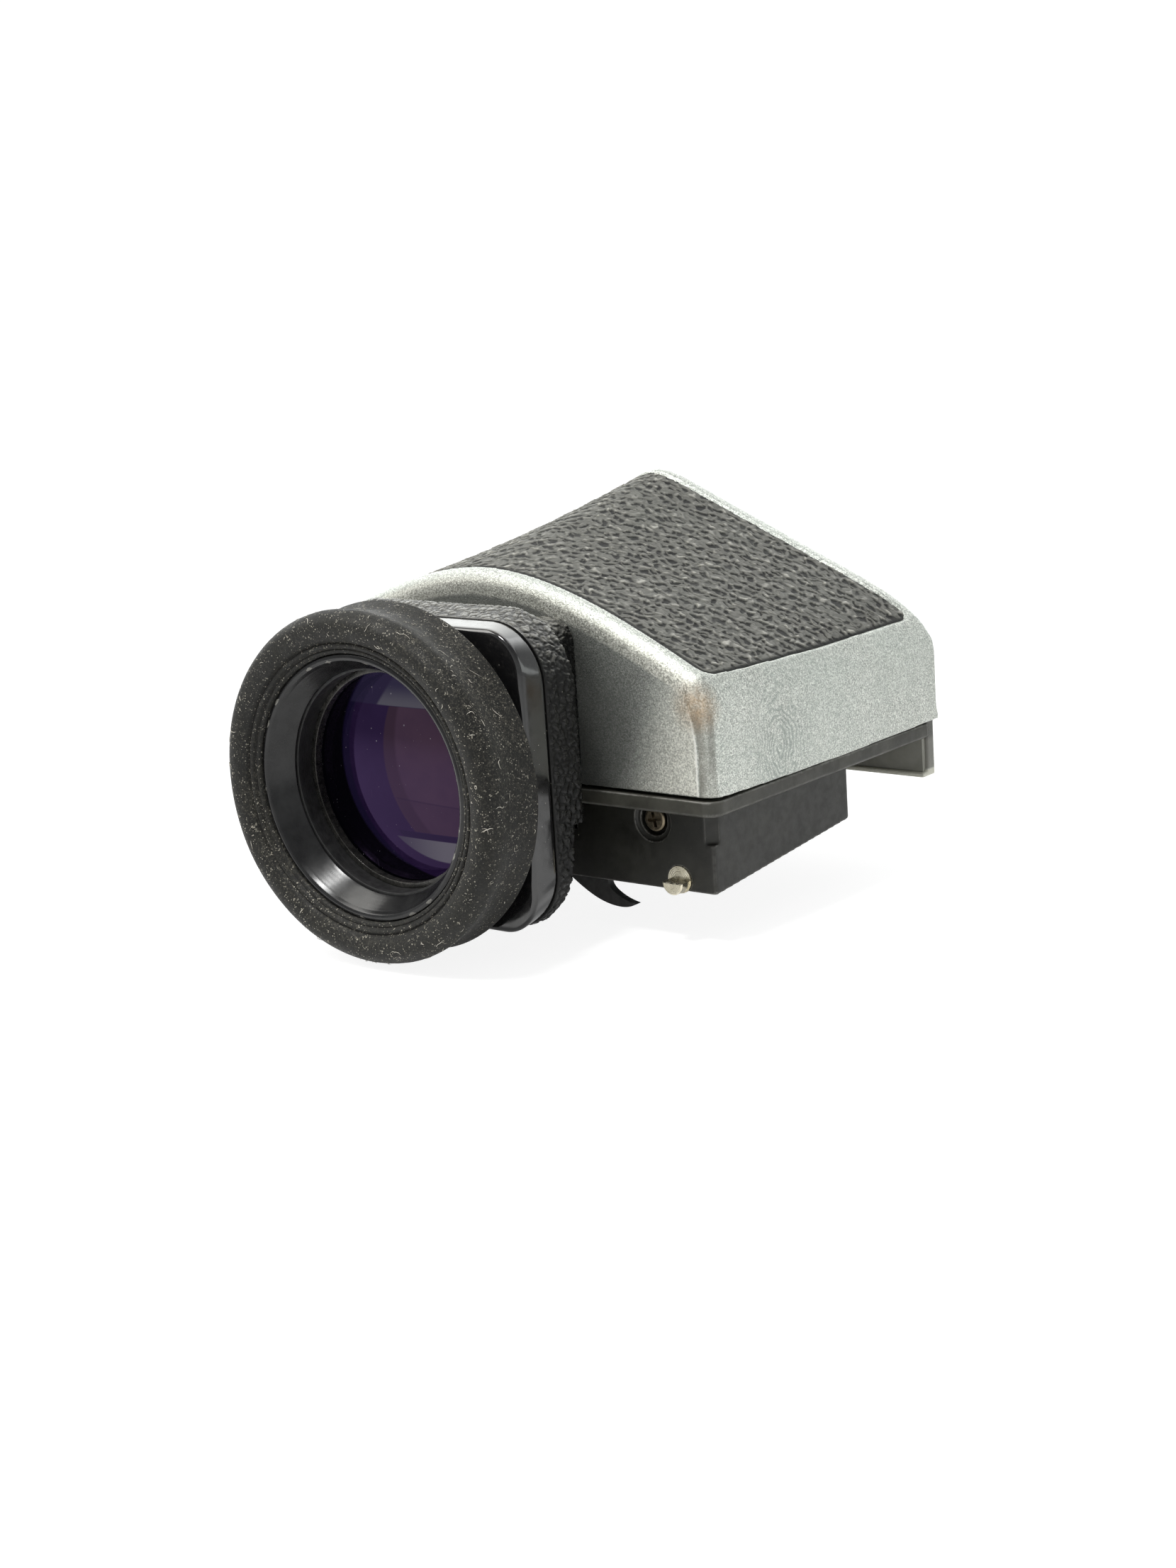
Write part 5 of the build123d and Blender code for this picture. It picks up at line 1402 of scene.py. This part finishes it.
def cup_lint(fibres=130, crumbs=520, steps=12):
    profile_length, mean_radius = 12.5, 21.5   # turn a fibre's run into along and angle
    pile = Pile()
    for _ in range(fibres):
        along, angle = RNG.uniform(0.05, 0.98), RNG.uniform(0, 2 * np.pi)
        length = RNG.uniform(0.3, 1.0) if RNG.random() < 0.72 else RNG.uniform(1.0, 2.4)
        heading = RNG.uniform(0, 2 * np.pi)
        turn = RNG.normal(0, 1.6)
        path = []
        for k in range(steps):
            arch = 0.06 * math.sin(k / (steps - 1) * math.pi) * RNG.uniform(0.4, 1)
            path.append(cup_point(along, angle, 0.035 + arch))
            heading += turn * length / steps + RNG.normal(0, 0.25)
            along += math.sin(heading) * length / steps / profile_length
            angle += math.cos(heading) * length / steps / mean_radius
            along = min(max(along, 0.02), 0.99)
        add_fibre(pile, path, RNG.uniform(0.024, 0.045))
    for _ in range(crumbs):
        centre = cup_point(RNG.uniform(0.0, 1.0), RNG.uniform(0, 2 * np.pi), 0.01)
        add_crumb(pile, centre, RNG.uniform(0.022, 0.062))
    finish_piece(pile.build("eyecup_lint"), "rubber", look="lint", body="eyecup")


def hood_specks(count=90):
    """Specks on the hood's +x side and top, and on the shell's back face."""
    frame_half, frame_y = 19.45, -27.2
    flare, flare_length = 0.85, 5.2     # the hood widens towards the shell
    pile = Pile()
    for _ in range(count):
        place = int(RNG.integers(0, 3))
        y = RNG.uniform(-30.9, -22.6)
        along = RNG.uniform(-13, 13)
        # all three places are worked out each time, to keep the order of the draws
        back_face = (RNG.uniform(24, 34), SHELL_BACK_Y, RNG.uniform(4, 13))
        half = frame_half
        if y >= frame_y:
            half += flare * (y - frame_y) / flare_length
        centre = ((half, y, AXIS_Z + along), (along, y, AXIS_Z + half), back_face)[place]
        add_crumb(pile, np.array(centre, float), RNG.uniform(0.02, 0.055))
    finish_piece(pile.build("hood_specks"), "grained_moulding", look="lint")


# ---------------------------------------------------------------------------
# Stage: pale floor, soft studio light, camera
# ---------------------------------------------------------------------------
def floor_material():
    m = Material("pale_floor")
    seen, mirrored = m.rays()
    base = m.mottle((0.84, 0.84, 0.84), (0.87, 0.87, 0.87), scale=0.01)
    base = m.mix(base, (0.22, 0.22, 0.22), amount=seen)
    paper = m.principled(
        colour=base, rough=0.85,
        normal=m.bump(m.noise(scale=0.3, detail=2.0), strength=0.02, depth=0.1))
    # a glow lifts the floor to paper white, and it runs out into the pale backdrop
    x, y, _ = m.xyz()
    toward = x * 0.63 + y * 0.77
    mirror_glow = toward.fade(over=(30.0, 110.0), to=(0.34, 0.0))
    glow = m.add("Emission", {
        "Color": (1, 1, 1), "Strength": seen * 0.87 + mirrored * mirror_glow})
    lit = m.add("AddShader", {0: paper, 1: glow})
    m.show(m.mix_shader(lit, m.add("BsdfTransparent"),
                        amount=m.place.length().fade(over=(110.0, 330.0))))
    return m.material


def add_floor(reach=700):
    corners = [(-reach, -reach), (reach, -reach), (reach, reach), (-reach, reach)]
    floor = build("floor", [(x, y, FLOOR_Z) for x, y in corners], [(0, 1, 2, 3)], smooth=False)
    floor.data.materials.append(floor_material())


def add_world():
    world = bpy.data.worlds.new("studio")
    scene.world = world
    world.use_nodes = True
    g = Graph(world.node_tree, "OutputWorld")
    seen, mirrored = g.rays()
    direction = g.add("TexCoord", out="Generated")
    # reflections see a paler horizon than zenith, as in a white cove
    cove = g.split(direction)[2].fade(over=(0.10, 0.65), to=(0.74, 0.36))
    # the backdrop beyond the front -x corner is lit like paper
    toward_corner = g.vector_math("DOT_PRODUCT", direction, (-0.62, 0.74, 0.26))
    backdrop = toward_corner.fade(over=(0.60, 0.96), to=(0.0, 1.9))

    def sky(strength, colour):
        return g.add("Background", {"Color": colour, "Strength": strength})

    unseen = g.mix_shader(sky(strength=0.42, colour=(0.97, 0.985, 1.0)),
                          sky(strength=cove + backdrop, colour=(0.97, 0.99, 0.985)),
                          amount=mirrored)
    g.show(g.mix_shader(unseen, sky(strength=1.05, colour=(1, 1, 1)), amount=seen))


def softbox(name, place, size, power, colour=(1, 1, 1), size_y=None):
    """An area light aimed at the middle of the finder; place and sizes in metres."""
    light = bpy.data.lights.new(name, "AREA")
    light.energy = power
    light.size = size
    if size_y:
        light.shape = "RECTANGLE"
        light.size_y = size_y
    light.color = colour
    ob = add_object(name, light)
    ob.location = Vector(place)
    aim = Vector((0, 0, 0.008)) - Vector(place)
    ob.rotation_euler = aim.to_track_quat("-Z", "Y").to_euler()


def add_lights():
    softbox("key_back", place=(-0.33, -0.25, 0.44), size=0.30, size_y=0.40, power=2.6,
            colour=(1.0, 0.985, 0.94))
    softbox("over", place=(0.03, -0.24, 0.56), size=0.12, power=2.9, colour=(1.0, 1.0, 0.99))
    softbox("low_right", place=(0.58, 0.48, 0.16), size=0.36, power=0.65,
            colour=(0.95, 1.0, 0.975))
    softbox("front_top", place=(0.10, 0.50, 0.55), size=0.5, power=1.0)


def add_camera():
    """Looks from behind on the +x side; place and clip distances in metres."""
    lens = bpy.data.cameras.new("photo_camera")
    camera = add_object("photo_camera", lens)
    lens.sensor_width = 36.0
    lens.lens = 63.471971
    lens.clip_start = 0.01
    lens.clip_end = 30.0
    right = (0.78234, 0.61958, -0.06368)
    up = (-0.09166, 0.21568, 0.97214)
    backward = (0.61606, -0.75472, 0.22553)
    pose = Matrix((right, up, backward)).transposed().to_4x4()
    pose.translation = (0.23074, -0.27913, 0.08101)
    camera.matrix_world = pose
    scene.camera = camera


dress_cad_nodes()
outer_shell()
leatherette()
flange_and_block()
hood()
gloss_frame()
metal_rings()
eye_lens()
eyecup()
cup_lint()
hood_specks()
add_floor()
add_world()
add_lights()
add_camera()
scene.view_settings.view_transform = "Standard"
scene.view_settings.look = "None"
